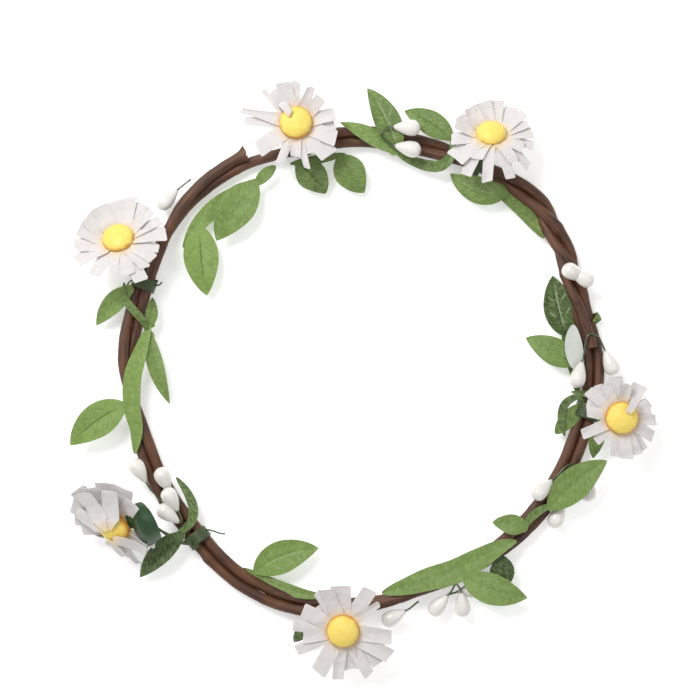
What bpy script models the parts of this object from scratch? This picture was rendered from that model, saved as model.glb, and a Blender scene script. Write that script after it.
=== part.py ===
"""A daisy flower crown that lies on a table.

Two paper-wrapped wire twigs are twisted into a hoop. Six fabric daisies stand on wire stems that are
tied to it, with ten satin leaf ribbons and eleven sprays of white pips bound in between.

Places on the hoop are given as (angle, out, up): degrees counterclockwise from +X, then millimetres
outward from the hoop's centreline and above the table. Ribbons and pips are placed round a bundle of
twigs whose ties have the radius LAID_ROUND, and move off with a thicker or thinner one. All sizes are
in millimetres, and finish() turns the finished meshes to metres. The origin is the hoop's centre, on
the table.
"""

import math

import bmesh
import bpy
from mathutils import Matrix, Vector

MM = 0.001
GAP = 0.3                   # between two pieces that touch on the real crown

# The hoop
HOOP_RADIUS = 85.6          # mean radius of its centreline
WOBBLE_STEP = 15            # degrees between the values of WOBBLE
WOBBLE = (0.7, -1.4, 0.9, 3.4, 0.4, -1.1, -0.9, -1.1, 1.2, 1.6, -0.7, -1.5,
          -0.8, -2.5, -1.6, -0.4, 2.9, 4.0, 1.4, -1.0, -1.9, -1.6, -1.2, -0.9)

# The two twigs: a wire in a wrap of paper each
TWIG_RADIUS = 1.7
CORE_RADIUS = 0.45
CORE_CLEARANCE = 0.3
TWIG_GAP = 0.45
LONG_TWIG = (5, 405)        # degrees from its cut end to its last end, so 40 degrees lie double
SHORT_TWIG = (118, 464)     # degrees from its torn end to the end under daisy 1
STEP_MOST = 7.5             # degrees between two rings of a twig
TWIST_MOST = 25             # degrees of twist between two rings
EASE = 12                   # degrees over which three twigs settle back to two
TWIG_SIDES = 8
CORE_SIDES = 5
# hoop angle, then the direction from the hoop's centreline to the short twig, in degrees
TWIST = ((45, 180), (70, 330), (100, 385), (130, 410), (172, 560), (200, 700),
         (243, 722), (282, 810), (335, 900), (365, 900))
ROPE = ((5, -150), (15, -140), (30, 0), (45, 150))

# The ties that bind the stems on
TIE_WALL = 0.6
TIE_LENGTH = 6.0
TIE_SIDES = 12
STEM_SEAT = 60              # degrees from outward to up, where a stem leaves its tie

# The daisies
STEM_RADIUS = 0.5
STEM_CLEARANCE = 0.3
STEM_SIDES = 6
STEM_STEPS = 8              # stretches of a stem from its foot to its calyx
STEM_PULL = 0.45            # how far a stem keeps its direction at both ends, as a share of its reach
PETAL_THICKNESS = 0.5
PETAL_ROOT = 5.2            # radius where the slits between petals end
PETAL_TIP_WIDTH = 4.4
SLIT = 0.5
CENTRE_RADIUS = 6.0
CENTRE_HEIGHT = 4.6
CENTRE_SOCKET = 2.6
CENTRE_FOOT = 5.4           # radius of its flat underside
CENTRE_PROFILE = ((1.0, 0.2), (0.85, 0.62), (0.5, 0.9), (0.0, 1.0))     # shares of radius and height
CALYX_RADIUS = 3.8
CALYX_HEIGHT = 3.4
CALYX_MOUTH = 1.7
CALYX_BELLY = (0.8, 0.5)    # shares of radius and height
TURNED_SIDES = 10           # of a centre and of a calyx
# tie angle, head (angle, out, up), tilt, tilt's turn from outward, petals, petal radius, tips above root
DAISIES = (
    (104.3, (104.3, 7.1, 16.0), 8, 0, 14, 17.0, -1.0),
    (60.3, (60.3, 11.0, 16.5), 42, 30, 14, 15.5, -1.5),
    (158.5, (151.9, 13.7, 17.0), 36, -47, 14, 17.0, -1.0),
    (349.3, (349.3, 11.6, 16.0), 6, 0, 14, 15.5, -1.0),
    (226.5, (212.9, 20.5, 16.0), 40, 22, 8, 16.0, 2.0),
    (266.6, (266.6, 7.5, 16.0), 6, 0, 13, 17.5, -1.0),
)
SEPAL_DAISY = 5             # this one stands open, so its green sepals show
SEPALS = 3
SEPAL_RADIUS = 13.0
SEPAL_WIDTH = 9.0

# The leaf ribbons
RIBBON_THICKNESS = 0.5
LEAF_ROOT_WIDTH = 1.6
LEAF_TIP_WIDTH = 0.5
LEAF_STATIONS = 9
LEAF_SKEW = 0.85            # below 1, a leaf is widest nearer its root
LEAF_FULLNESS = 0.8         # below 1, a leaf's sides are rounder than a sine
BAND_STEP = 3.5             # length of a band between two cross-sections
TAPER = 4.0                 # length over which a band narrows at its ends
END_SHARE = 0.45            # of a band's width that is left at its ends
LAID_ROUND = 4.525          # radius of the ties that the places below were laid out round
# leaf: root (angle, out, up), heading from outward, length, width, bow, rise, bank in degrees
# band: width, then the places that it runs through
RIBBONS = (
    {"leaves": (((118.5, -9.6, 5.8), 116, 26.0, 13.5, 1.0, 2.2, 0),
                ((138.0, -8.6, 5.2), 138, 26.0, 12.8, 0.5, 1.5, 0)),
     "bands": ((4.5, ((112.3, -5.8, 6.2), (115.5, -7.6, 6.0), (119.5, -10.0, 5.7))),
               (6.5, ((117.5, -8.6, 5.7), (124.0, -9.2, 5.2), (132.0, -8.6, 5.0), (139.0, -8.2, 5.1),
                      (145.5, -7.9, 5.3))))},
    {"leaves": (((107.0, -6.4, 5.6), 208, 15.5, 10.0, -1.0, -1.0, 0),
                ((95.0, -6.2, 5.6), 208, 16.5, 11.0, 0.5, -1.0, 0)),
     "bands": ((3.4, ((108.5, -6.2, 5.4), (101.0, -6.6, 5.4), (93.5, -6.2, 5.4))),)},
    {"leaves": (((79.5, -5.0, 9.4), 72, 24.0, 6.0, 1.0, 0.3, 0),
                ((79.6, -4.6, 9.5), 36, 25.9, 9.0, 1.5, 1.5, 0),
                ((67.6, 5.2, 8.4), 81, 20.5, 9.0, 1.0, -3.0, 0)),
     "bands": ((4.2, ((80.5, -4.4, 9.3), (77.5, -5.8, 8.6), (74.0, -6.5, 7.0), (70.5, -6.5, 7.0),
                      (67.6, -5.0, 8.4), (66.4, -1.0, 9.4), (67.0, 3.4, 9.0), (68.3, 6.2, 8.2))),)},
    {"leaves": (((54.0, -7.0, 5.6), 111, 15.6, 8.0, -1.5, -0.5, 0),),
     "bands": ((5.0, ((56.5, -6.8, 5.4), (51.0, -6.8, 5.0), (43.5, -6.8, 4.6), (35.5, -6.6, 4.4))),)},
    {"leaves": (((8.8, -8.6, 3.0), 93.6, 22.8, 9.4, 0.0, 0.5, 8),
                ((0.8, -6.4, 4.4), 151, 21.0, 9.0, 0.5, 0.8, 0),
                ((348.0, 6.4, 6.3), 275, 12.5, 4.6, 0.5, -1.0, 0)),
     "bands": ((5.4, ((10.5, -8.6, 3.1), (5.0, -8.8, 3.6), (359.5, -7.8, 4.5), (353.0, -7.8, 5.0),
                      (347.5, -8.8, 5.8), (342.0, -7.4, 5.0))),
               (3.0, ((353.6, -7.2, 5.1), (353.5, -5.2, 6.9), (353.5, -2.0, 7.4), (353.5, 2.4, 7.4),
                      (352.3, 5.8, 6.6), (346.5, 6.6, 6.2))),
               (4.0, ((8.2, -9.6, 3.4), (9.0, -6.8, 2.6), (10.2, -3.4, 1.0), (11.0, 1.0, 0.8),
                      (12.0, 5.2, 1.8), (12.2, 6.2, 4.0), (11.8, 4.9, 5.9), (11.2, 3.1, 6.6))))},
    {"leaves": (((323.2, 2.4, 9.0), 77, 28.0, 11.0, -1.5, 1.0, 0),
                ((316.6, 1.0, 9.2), 214, 12.5, 6.5, 0.5, 0.2, 0)),
     "bands": ((3.0, ((325.5, 2.6, 8.9), (321.5, -0.2, 8.9), (318.5, -0.8, 9.0), (315.0, 0.4, 9.1))),)},
    {"leaves": (((296.5, 1.0, 9.2), 44.8, 24.6, 10.0, 1.0, -1.2, 0),
                ((309.8, 5.8, 6.6), 335, 11.0, 5.0, -0.5, -2.0, 0)),
     "bands": ((5.0, ((274.0, -3.0, 9.3), (280.0, -2.8, 9.3), (287.0, -2.6, 9.1), (295.0, -1.6, 9.0),
                      (302.0, -1.8, 8.8), (308.0, 0.5, 8.7), (310.0, 4.4, 7.8), (309.4, 7.0, 6.4))),)},
    {"leaves": (((243.2, -6.2, 6.2), 138, 24.6, 11.0, -2.0, 1.0, 0),
                ((259.6, 6.0, 6.6), 328, 9.5, 4.0, 0.5, -2.0, 0)),
     "bands": ((3.2, ((241.5, -5.6, 6.3), (246.5, -5.0, 6.9), (252.0, -3.6, 7.6), (257.0, -2.4, 8.4),
                      (260.4, 0.8, 8.9), (260.8, 4.8, 7.6), (259.6, 7.2, 6.4))),)},
    {"leaves": (((222.6, 5.2, 7.6), 2, 22.5, 6.6, 1.0, -3.0, 0),),
     "bands": ((3.6, ((211.0, -6.4, 5.6), (216.0, -7.0, 6.2), (220.5, -5.4, 7.2), (222.6, -2.0, 7.3),
                      (222.8, 2.5, 7.5), (222.7, 6.8, 7.4))),)},
    {"leaves": (((188.9, 1.8, 9.2), 27, 25.6, 11.7, 1.5, -1.0, 0),
                ((169.8, -6.4, 6.4), 116, 28.0, 5.0, 1.0, 0.0, 0),
                ((169.0, -6.4, 6.4), 276, 11.0, 3.5, 0.5, -0.5, 0),
                ((160.5, 6.6, 6.4), 72, 21.0, 6.5, 1.0, -1.5, 0)),
     "bands": ((4.6, ((168.0, -6.4, 6.5), (175.0, -5.2, 8.2), (182.0, -2.4, 9.3), (190.0, 0.2, 9.2),
                      (196.5, 1.2, 8.3), (203.0, 5.6, 6.8))),
               (3.0, ((170.5, -6.3, 6.6), (167.5, -3.4, 8.8), (165.5, 0.6, 9.4), (163.5, 4.6, 8.4),
                      (160.0, 7.0, 6.3))))},
)

# The pips: a glossy bud at one or both ends of a thin wire
PIP_RADIUS = 3.0
PIP_LENGTH = 10.0           # from the round end to the neck
PIP_WIRE_RADIUS = 0.35
PIP_SIDES = 8
# share of the pip's length from its round end, then its share of the full radius
PIP_PROFILE = ((0.0, 0.25), (0.05, 0.6), (0.16, 0.92), (0.3, 1.0), (0.58, 0.78), (0.82, 0.4))
# a spray: pips as (underside of the round end, neck), and the places of the wire between or after them
SPRAYS = (
    (((77.4, 5.0, 9.6), (82.6, 4.0, 12.4)), ((76.0, -2.6, 9.6), (81.4, -2.4, 12.4)), ((84.6, 0.8, 12.6),)),
    (((24.7, -0.9, 9.6), (23.6, 0.6, 11.8)), ((21.2, 4.2, 8.4), (22.6, 2.2, 11.4)), ((23.2, 1.4, 12.0),)),
    (((356.9, -6.2, 6.0), (3.0, -3.8, 8.6)), ((0.1, 6.4, 4.0), (7.2, 3.4, 7.6)), ((8.4, 0.0, 9.6),)),
    (((325.3, -4.4, 7.2), (331.0, -2.2, 8.6)), ((331.3, 11.4, 2.6), (335.6, 7.4, 5.8)), ((335.6, 0.6, 7.6),)),
    (((322.3, 7.0, 2.0), (327.4, 5.6, 4.6)), None, ((331.5, 4.9, 4.6),)),
    (((287.8, 8.1, 3.4), (292.6, 4.3, 8.6)), ((293.4, 12.1, 2.8), (294.8, 5.0, 8.6)), ((294.3, 2.6, 9.0),)),
    (((297.9, 8.2, 1.8), (293.6, 5.6, 5.0)), None, ((290.0, 5.0, 5.0),)),
    (((277.0, 6.8, 3.4), (281.9, 4.9, 7.4)), None, ((284.5, 3.2, 8.6),)),
    (((203.9, 5.0, 7.0), (210.5, 3.8, 8.6)), ((208.6, -2.4, 7.0), (213.6, -1.6, 7.4)), ((215.4, 1.2, 7.4),)),
    (((213.9, -1.2, 8.8), (218.6, -0.6, 9.8)), ((216.4, 3.4, 7.4), (220.6, 1.6, 9.6)), ((220.8, 0.4, 9.7),)),
    (((139.6, 6.8, 3.0), (134.8, 5.6, 5.6)), None, ((131.6, 5.0, 5.6),)),
)

COLOURS = {
    "paper": ((0.13, 0.06, 0.035), 0.75, 0.0),
    "core": ((0.45, 0.45, 0.47), 0.35, 1.0),
    "tie": ((0.03, 0.07, 0.02), 0.6, 0.0),
    "petal": ((0.80, 0.78, 0.76), 0.85, 0.0),
    "centre": ((0.85, 0.62, 0.10), 0.5, 0.0),
    "calyx": ((0.02, 0.08, 0.03), 0.7, 0.0),
    "stem": ((0.03, 0.09, 0.03), 0.5, 0.0),
    "ribbon": ((0.12, 0.22, 0.05), 0.45, 0.0),
    "pip": ((0.82, 0.80, 0.76), 0.2, 0.0),
}

UP = Vector((0, 0, 1))
TWIG_SPACING = 2 * TWIG_RADIUS + TWIG_GAP
BORE_RADIUS = CORE_RADIUS + CORE_CLEARANCE
TIE_BORE = TWIG_SPACING / 2 + TWIG_RADIUS + GAP
TIE_RADIUS = TIE_BORE + TIE_WALL
HOOP_HEIGHT = TIE_RADIUS    # the ties are what the crown lies on
STEM_BORE = STEM_RADIUS + STEM_CLEARANCE
GROWN = TIE_RADIUS - LAID_ROUND     # 0 on the real crown


def smooth(knots, x):
    """The value at x of a smooth curve through (place, value) knots."""
    last = len(knots) - 2
    i = max(0, min(last, sum(x >= k[0] for k in knots) - 1))
    x0, y0 = knots[i]
    x1, y1 = knots[i + 1]
    chord = (y1 - y0) / (x1 - x0)
    before = (y0 - knots[i - 1][1]) / (x0 - knots[i - 1][0]) if i > 0 else chord
    after = (knots[i + 2][1] - y1) / (knots[i + 2][0] - x1) if i < last else chord
    t = (x - x0) / (x1 - x0)
    s0 = (chord + before) / 2 * (x1 - x0)
    s1 = (chord + after) / 2 * (x1 - x0)
    return y0 + t * (s0 + t * (3 * (y1 - y0) - 2 * s0 - s1 + t * (s0 + s1 - 2 * (y1 - y0))))


def ease(t):
    """A step from 0 to 1 that starts and ends level."""
    t = max(0.0, min(1.0, t))
    return t * t * (3 - 2 * t)


def hoop_radius(angle):
    """The radius of the hoop's centreline at an angle."""
    count = len(WOBBLE)
    place = (angle % 360) / WOBBLE_STEP
    i = int(place)
    knots = [(i + k, WOBBLE[(i + k) % count]) for k in (-1, 0, 1, 2)]
    return HOOP_RADIUS + smooth(knots, place)


def spot(angle, out, up):
    """The point at a place on the hoop."""
    reach = hoop_radius(angle) + out
    a = math.radians(angle)
    return Vector((reach * math.cos(a), reach * math.sin(a), up))


def beside(angle, out, up):
    """The point at a ribbon's or pip's place, which moves off as the bound twigs get thicker."""
    away = Vector((out, up - LAID_ROUND)).normalized() * GROWN
    return spot(angle, out + away.x, up + GROWN + away.y)


def outward(angle):
    """The level direction away from the hoop's middle."""
    a = math.radians(angle)
    return Vector((math.cos(a), math.sin(a), 0))


def along(angle):
    """The level direction of the hoop's centreline."""
    return (spot(angle + 1, 0, 0) - spot(angle - 1, 0, 0)).normalized()


def polar(degrees, reach):
    """An (out, up) pair at a direction and distance."""
    a = math.radians(degrees)
    return Vector((reach * math.cos(a), reach * math.sin(a)))


def twist_at(angle):
    """The direction from the hoop's centreline to the short twig where two twigs lie together."""
    turn = (angle - TWIST[0][0]) % 360 + TWIST[0][0]
    return smooth(TWIST, turn)


def twig_offsets(angle):
    """The (out, up) offsets of the short twig, the long one and the long one's doubled start, or None."""
    turn = (angle - ROPE[0][0]) % 360 + ROPE[0][0]
    reach = TWIG_SPACING / math.sqrt(3)
    if turn <= ROPE[-1][0]:
        a = smooth(ROPE, turn)
        return polar(a, reach), polar(a + 120, reach), polar(a + 240, reach)
    a = twist_at(turn)
    pair = polar(a, TWIG_SPACING / 2)
    end = ROPE[0][0] + 360
    settle = reach / 2 * (1 - ease((turn - ROPE[-1][0]) / EASE))
    rise = reach / 2 * ease((turn - end + EASE) / EASE)
    shift = polar(a - 90, settle) + polar(a + 90, rise)
    return pair + shift, -pair + shift, None


def bend_rate(angle):
    """Degrees of twist for each degree of the hoop."""
    turn = (angle - ROPE[0][0]) % 360 + ROPE[0][0]
    knots = ROPE if turn < ROPE[-1][0] else TWIST
    near = min(turn + 1, knots[-1][0])
    return max(abs(smooth(knots, near) - smooth(knots, near - 2)) / 2, 0.01)


def twig_path(start, end, which):
    """The points of a twig's middle line. which is 0 for the short twig and 1 for the long one."""
    angles = [start]
    while angles[-1] < end:
        step = min(STEP_MOST, TWIST_MOST / bend_rate(angles[-1]))
        angles.append(angles[-1] + step)
    angles[-1] = end
    doubled = start + (ROPE[-1][0] - ROPE[0][0])
    points = []
    for angle in angles:
        slots = twig_offsets(angle)
        first_turn = which == 1 and angle <= doubled
        out, up = slots[2] if first_turn else slots[which]
        points.append(spot(angle, out, HOOP_HEIGHT + up))
    return points


def through(points, step):
    """Points about a step apart on a smooth curve through the given ones."""
    places = [0.0]
    for a, b in zip(points, points[1:]):
        places.append(places[-1] + (b - a).length)
    axes = [list(zip(places, [p[k] for p in points])) for k in range(3)]
    count = max(2, round(places[-1] / step))
    return [Vector([smooth(axis, places[-1] * i / count) for axis in axes]) for i in range(count + 1)]


def directions(points):
    """The direction of travel at each point of a line."""
    ends = [points[0], *points, points[-1]]
    return [(ends[i + 2] - ends[i]).normalized() for i in range(len(points))]


def carried(first, travel):
    """A sideways direction that is carried along a line without spinning."""
    side = (first - travel[0] * first.dot(travel[0])).normalized()
    sides = [side]
    for before, after in zip(travel, travel[1:]):
        side = before.rotation_difference(after) @ side
        side = (side - after * side.dot(after)).normalized()
        sides.append(side)
    return sides


def material(name):
    """The plain material of one finish."""
    found = bpy.data.materials.get(name)
    if found:
        return found
    colour, roughness, metallic = COLOURS[name]
    made = bpy.data.materials.new(name)
    made.use_nodes = True
    shader = made.node_tree.nodes["Principled BSDF"]
    shader.inputs["Base Color"].default_value = (*colour, 1)
    shader.inputs["Roughness"].default_value = roughness
    shader.inputs["Metallic"].default_value = metallic
    return made


def finish(bm, name, finish_name, origin=None, parent=None, smooth_shade=True):
    """Turns a bmesh in millimetres to an object in metres whose own origin is at a point."""
    bmesh.ops.recalc_face_normals(bm, faces=bm.faces)
    bm.transform(Matrix.Scale(MM, 4))
    mesh = bpy.data.meshes.new(name)
    bm.to_mesh(mesh)
    bm.free()
    if smooth_shade:
        mesh.shade_smooth()
        mesh.set_sharp_from_angle(angle=math.radians(40))
    obj = bpy.data.objects.new(name, mesh)
    bpy.context.scene.collection.objects.link(obj)
    obj.data.materials.append(material(finish_name))
    if origin is not None:
        mesh.transform(Matrix.Translation(-origin * MM))
        obj.location = origin * MM
    if parent is not None:
        obj.parent = parent
        obj.location = (0, 0, 0)
    return obj


def skin(bm, rings, closed_round=False):
    """Faces between rings of points, with flat ends unless the rings close on themselves."""
    verts = [[bm.verts.new(p) for p in ring] for ring in rings]
    pairs = list(zip(verts, verts[1:]))
    if closed_round:
        pairs.append((verts[-1], verts[0]))
    for a, b in pairs:
        for i in range(len(a)):
            j = (i + 1) % len(a)
            bm.faces.new((a[i], a[j], b[j], b[i]))
    if not closed_round:
        bm.faces.new(verts[0])
        bm.faces.new(verts[-1])


def rings_along(points, radii, sides):
    """Round rings across a line."""
    travel = directions(points)
    carry = carried(UP if abs(travel[0].z) < 0.9 else Vector((1, 0, 0)), travel)
    rings = []
    for point, way, side, radius in zip(points, travel, carry, radii):
        other = way.cross(side)
        turns = [2 * math.pi * i / sides for i in range(sides)]
        rings.append([point + (side * math.cos(t) + other * math.sin(t)) * radius for t in turns])
    return rings


def rod(points, radii, sides):
    """A bmesh of a solid round rod along a line."""
    bm = bmesh.new()
    skin(bm, rings_along(points, radii, sides))
    return bm


def pipe(points, radius, bore, sides):
    """A bmesh of an open pipe along a line."""
    outer = rings_along(points, [radius] * len(points), sides)
    inner = rings_along(points, [bore] * len(points), sides)
    bm = bmesh.new()
    skin(bm, outer + inner[::-1], closed_round=True)
    return bm


def turned(profile, sides, closed_round=False):
    """A bmesh of a profile of (radius, height) turned round Z. Its ends lie on the axis unless it closes."""
    bm = bmesh.new()
    rings = []
    for radius, height in profile:
        if radius == 0:
            rings.append([bm.verts.new((0, 0, height))])
            continue
        turns = [2 * math.pi * i / sides for i in range(sides)]
        rings.append([bm.verts.new((radius * math.cos(t), radius * math.sin(t), height)) for t in turns])
    pairs = list(zip(rings, rings[1:]))
    if closed_round:
        pairs.append((rings[-1], rings[0]))
    for a, b in pairs:
        for i in range(sides):
            j = (i + 1) % sides
            corners = [a[i % len(a)], a[j % len(a)], b[j % len(b)], b[i % len(b)]]
            bm.faces.new(list(dict.fromkeys(corners)))
    return bm


def make_twig(name, span, which):
    """A paper wrap with its bore, and the wire inside it."""
    points = twig_path(*span, which)
    finish(pipe(points, TWIG_RADIUS, BORE_RADIUS, TWIG_SIDES), f"twig_wrap_{name}", "paper")
    finish(rod(points, [CORE_RADIUS] * len(points), CORE_SIDES), f"wire_core_{name}", "core")


def make_tie(number, angle):
    """The binding round the twigs: a short collar whose lowest facet is a flat foot."""
    half = 180 / TIE_SIDES
    way = along(angle)
    side = way.cross(UP)
    middle = spot(angle, 0, HOOP_HEIGHT)
    loops = []
    for flat, reach in ((TIE_RADIUS, 1), (TIE_RADIUS, -1), (TIE_BORE, -1), (TIE_BORE, 1)):
        corner = flat / math.cos(math.radians(half))
        loop = []
        for i in range(TIE_SIDES):
            out, up = polar(half + i * 360 / TIE_SIDES, corner)
            loop.append(middle + side * out + UP * up + way * (reach * TIE_LENGTH / 2))
        loops.append(loop)
    bm = bmesh.new()
    skin(bm, loops, closed_round=True)
    finish(bm, f"tie_{number}", "tie", smooth_shade=False)


def rosette(count, radius, rise, root, tip_width, middle):
    """A bmesh of a flat ring that is slit into petals, with a hole for the stem."""
    sector = 2 * math.pi / count
    root_half = sector / 2 - SLIT / 2 / root
    tip_half = min(tip_width / 2 / radius, sector / 2 - SLIT / 2 / radius)
    bm = bmesh.new()
    layers = []
    for lift in (PETAL_THICKNESS / 2, -PETAL_THICKNESS / 2):
        holes, roots, tips = [], [], []
        for i in range(count):
            for sign in (-1, 1):
                base = i * sector + sign * root_half
                tip = i * sector + sign * tip_half
                hole = i * sector + sign * sector / 4
                holes.append(bm.verts.new(disc_point(STEM_BORE, hole, middle + lift)))
                roots.append(bm.verts.new(disc_point(root, base, middle + lift)))
                tips.append(bm.verts.new(disc_point(radius, tip, middle + lift + rise)))
        layers.append((holes, roots, tips))
    total = 2 * count
    for holes, roots, tips in layers:
        for i in range(total):
            j = (i + 1) % total
            bm.faces.new((holes[i], roots[i], roots[j], holes[j]))
        for i in range(0, total, 2):
            bm.faces.new((roots[i], tips[i], tips[i + 1], roots[i + 1]))
    top, low = layers
    for i in range(total):
        j = (i + 1) % total
        bm.faces.new((top[0][i], top[0][j], low[0][j], low[0][i]))
        bm.faces.new((top[1][i], top[2][i], low[2][i], low[1][i]))
        rim = 2 if i % 2 == 0 else 1
        bm.faces.new((top[rim][i], top[rim][j], low[rim][j], low[rim][i]))
    return bm


def disc_point(radius, turn, height):
    """A point on a disc round Z."""
    return Vector((radius * math.cos(turn), radius * math.sin(turn), height))


def make_daisy(number, tie_angle, head, tilt, turn, petals, radius, rise):
    """A daisy's stem, calyx, petals and centre, all carried by an empty at the stem's foot."""
    seat = polar(STEM_SEAT, TIE_RADIUS + GAP)
    side = along(tie_angle).cross(UP)
    foot = spot(tie_angle, 0, HOOP_HEIGHT) + side * seat.x + UP * seat.y
    leave = side * math.cos(math.radians(STEM_SEAT)) + UP * math.sin(math.radians(STEM_SEAT))
    middle = spot(*head)
    lean = outward(head[0] + turn)
    facing = (UP * math.cos(math.radians(tilt)) + lean * math.sin(math.radians(tilt))).normalized()
    place = Matrix.Translation(middle) @ UP.rotation_difference(facing).to_matrix().to_4x4()

    hinge = bpy.data.objects.new(f"daisy_{number}_hinge", None)
    bpy.context.scene.collection.objects.link(hinge)
    hinge.location = foot * MM

    sheet_half = PETAL_THICKNESS / 2
    sepal_room = PETAL_THICKNESS + GAP if number == SEPAL_DAISY else 0
    calyx_top = -sheet_half - GAP - sepal_room
    calyx_low = calyx_top - CALYX_HEIGHT
    centre_low = sheet_half + GAP

    bloom = rosette(petals, radius, rise, PETAL_ROOT, PETAL_TIP_WIDTH, 0)
    bloom.transform(place)
    finish(bloom, f"daisy_{number}_petals", "petal", foot, hinge, smooth_shade=False)

    if number == SEPAL_DAISY:
        green = rosette(SEPALS, SEPAL_RADIUS, 0, PETAL_ROOT, SEPAL_WIDTH, -sepal_room)
        green.transform(place)
        finish(green, f"daisy_{number}_sepals", "calyx", foot, hinge, smooth_shade=False)

    socket_top = centre_low + CENTRE_SOCKET
    socket = ((0, socket_top), (STEM_BORE, socket_top), (STEM_BORE, centre_low), (CENTRE_FOOT, centre_low))
    dome = [(CENTRE_RADIUS * wide, centre_low + CENTRE_HEIGHT * high) for wide, high in CENTRE_PROFILE]
    button = turned([*socket, *dome], TURNED_SIDES)
    button.transform(place)
    finish(button, f"daisy_{number}_centre", "centre", foot, hinge)

    belly = (CALYX_RADIUS * CALYX_BELLY[0], calyx_low + CALYX_HEIGHT * CALYX_BELLY[1])
    bottom = ((STEM_BORE, calyx_low), (CALYX_MOUTH, calyx_low))
    top = ((CALYX_RADIUS, calyx_top), (STEM_BORE, calyx_top))
    cup = turned([*bottom, belly, *top], TURNED_SIDES, closed_round=True)
    cup.transform(place)
    finish(cup, f"daisy_{number}_calyx", "calyx", foot, hinge)

    low = middle + facing * calyx_low
    pull = STEM_PULL * (low - foot).length
    ends = (foot, foot + leave * pull, low - facing * pull, low)
    points = [bezier(ends, i / STEM_STEPS) for i in range(STEM_STEPS + 1)]
    points.append(middle + facing * (socket_top - GAP))
    stem = rod(points, [STEM_RADIUS] * len(points), STEM_SIDES)
    finish(stem, f"daisy_{number}_stem", "stem", foot, hinge)


def bezier(ends, t):
    """The point at t on a curve with four control points."""
    a, b, c, d = ends
    return a * (1 - t) ** 3 + b * (3 * t * (1 - t) ** 2) + c * (3 * t * t * (1 - t)) + d * t ** 3


def flat_strip(points, widths, bank):
    """A bmesh of a thin strip along a line, level across it apart from the bank."""
    travel = directions(points)
    first = travel[0].cross(UP)
    first.rotate(Matrix.Rotation(math.radians(bank), 3, travel[0]))
    rings = []
    for point, way, side, width in zip(points, travel, carried(first, travel), widths):
        normal = side.cross(way) * (RIBBON_THICKNESS / 2)
        edge = side * (width / 2)
        left, right = point - edge, point + edge
        rings.append([right + normal, left + normal, left - normal, right - normal])
    bm = bmesh.new()
    skin(bm, rings)
    return bm


def leaf_shape(root, heading, length, width, bow, rise, bank):
    """A bmesh of a leaf from its root to its pointed tip."""
    way = outward(root[0] + heading)
    start = beside(*root) - way * GROWN
    side = way.cross(UP)
    points, widths = [], []
    for i in range(LEAF_STATIONS):
        t = i / (LEAF_STATIONS - 1)
        reach = (length + GROWN) * t
        points.append(start + way * reach + side * (bow * 4 * t * (1 - t)) + UP * (rise * t))
        belly = math.sin(math.pi * t ** LEAF_SKEW) ** LEAF_FULLNESS if 0 < t < 1 else 0
        ends = LEAF_ROOT_WIDTH * (1 - t) + LEAF_TIP_WIDTH * t
        widths.append(max(ends, width * belly))
    return flat_strip(points, widths, bank)


def band_shape(width, places):
    """A bmesh of a band through its places, narrower at both ends."""
    points = through([beside(*p) for p in places], BAND_STEP)
    total = sum((b - a).length for a, b in zip(points, points[1:]))
    widths = []
    for i in range(len(points)):
        run = total * i / (len(points) - 1)
        share = ease(min(run, total - run) / TAPER)
        widths.append(width * (END_SHARE + (1 - END_SHARE) * share))
    return flat_strip(points, widths, 0)


def make_ribbon(number, leaves, bands):
    """One leaf ribbon: its first band, joined by Boolean unions with its other bands and its leaves."""
    name = f"leaf_ribbon_{number}"
    ribbon = finish(band_shape(*bands[0]), name, "ribbon", smooth_shade=False)
    others = [band_shape(*band) for band in bands[1:]] + [leaf_shape(*leaf) for leaf in leaves]
    for i, shape in enumerate(others, 1):
        arm = finish(shape, f"{name}_arm_{i}", "ribbon", smooth_shade=False)
        arm.hide_render = True
        arm.display_type = "WIRE"
        joined = ribbon.modifiers.new(f"join arm {i}", "BOOLEAN")
        joined.operation = "UNION"
        joined.object = arm


def pip_stretch(underside, neck):
    """The points and radii of a pip from its round end to its neck. Both are places on the hoop."""
    middle = beside(*underside) + UP * PIP_RADIUS
    neck = beside(*neck)
    way = (neck - middle).normalized()
    start = middle - way * (PIP_PROFILE[3][0] * PIP_LENGTH)
    points = [start + way * (PIP_LENGTH * share) for share, _ in PIP_PROFILE]
    radii = [max(PIP_WIRE_RADIUS, PIP_RADIUS * thick) for _, thick in PIP_PROFILE]
    return points + [neck], radii + [PIP_WIRE_RADIUS]


def make_spray(number, first, second, wire):
    """One wire with a pip at its end, or at both ends."""
    points, radii = pip_stretch(*first)
    points += [beside(*place) for place in wire]
    radii += [PIP_WIRE_RADIUS] * len(wire)
    if second:
        more_points, more_radii = pip_stretch(*second)
        points += more_points[::-1]
        radii += more_radii[::-1]
    finish(rod(points, radii, PIP_SIDES), f"pip_spray_{number}", "pip")


def main():
    for old in list(bpy.data.objects):
        bpy.data.objects.remove(old)
    make_twig("long", LONG_TWIG, 1)
    make_twig("short", SHORT_TWIG, 0)
    for number, daisy in enumerate(DAISIES, 1):
        make_tie(number, daisy[0])
        make_daisy(number, *daisy)
    for number, ribbon in enumerate(RIBBONS, 1):
        make_ribbon(number, ribbon["leaves"], ribbon["bands"])
    for number, spray in enumerate(SPRAYS, 1):
        make_spray(number, *spray)


main()
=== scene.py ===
# %% [markdown]
# # A daisy flower crown
#
# The crown is a hoop of two paper-wrapped wire twigs that are twisted together. Six fabric daisies on
# wire stems are tied to it, with satin leaf ribbons and sprays of lacquered pips bound in between.
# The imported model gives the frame: every body that moves, and the box that the crown fills.
#
# Lengths are in millimetres until a mesh is finished, because that is how a florist would give them.

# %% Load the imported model
import math
import random

import bmesh
import bpy
import numpy as np
from mathutils import Matrix, Vector, noise


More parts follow.
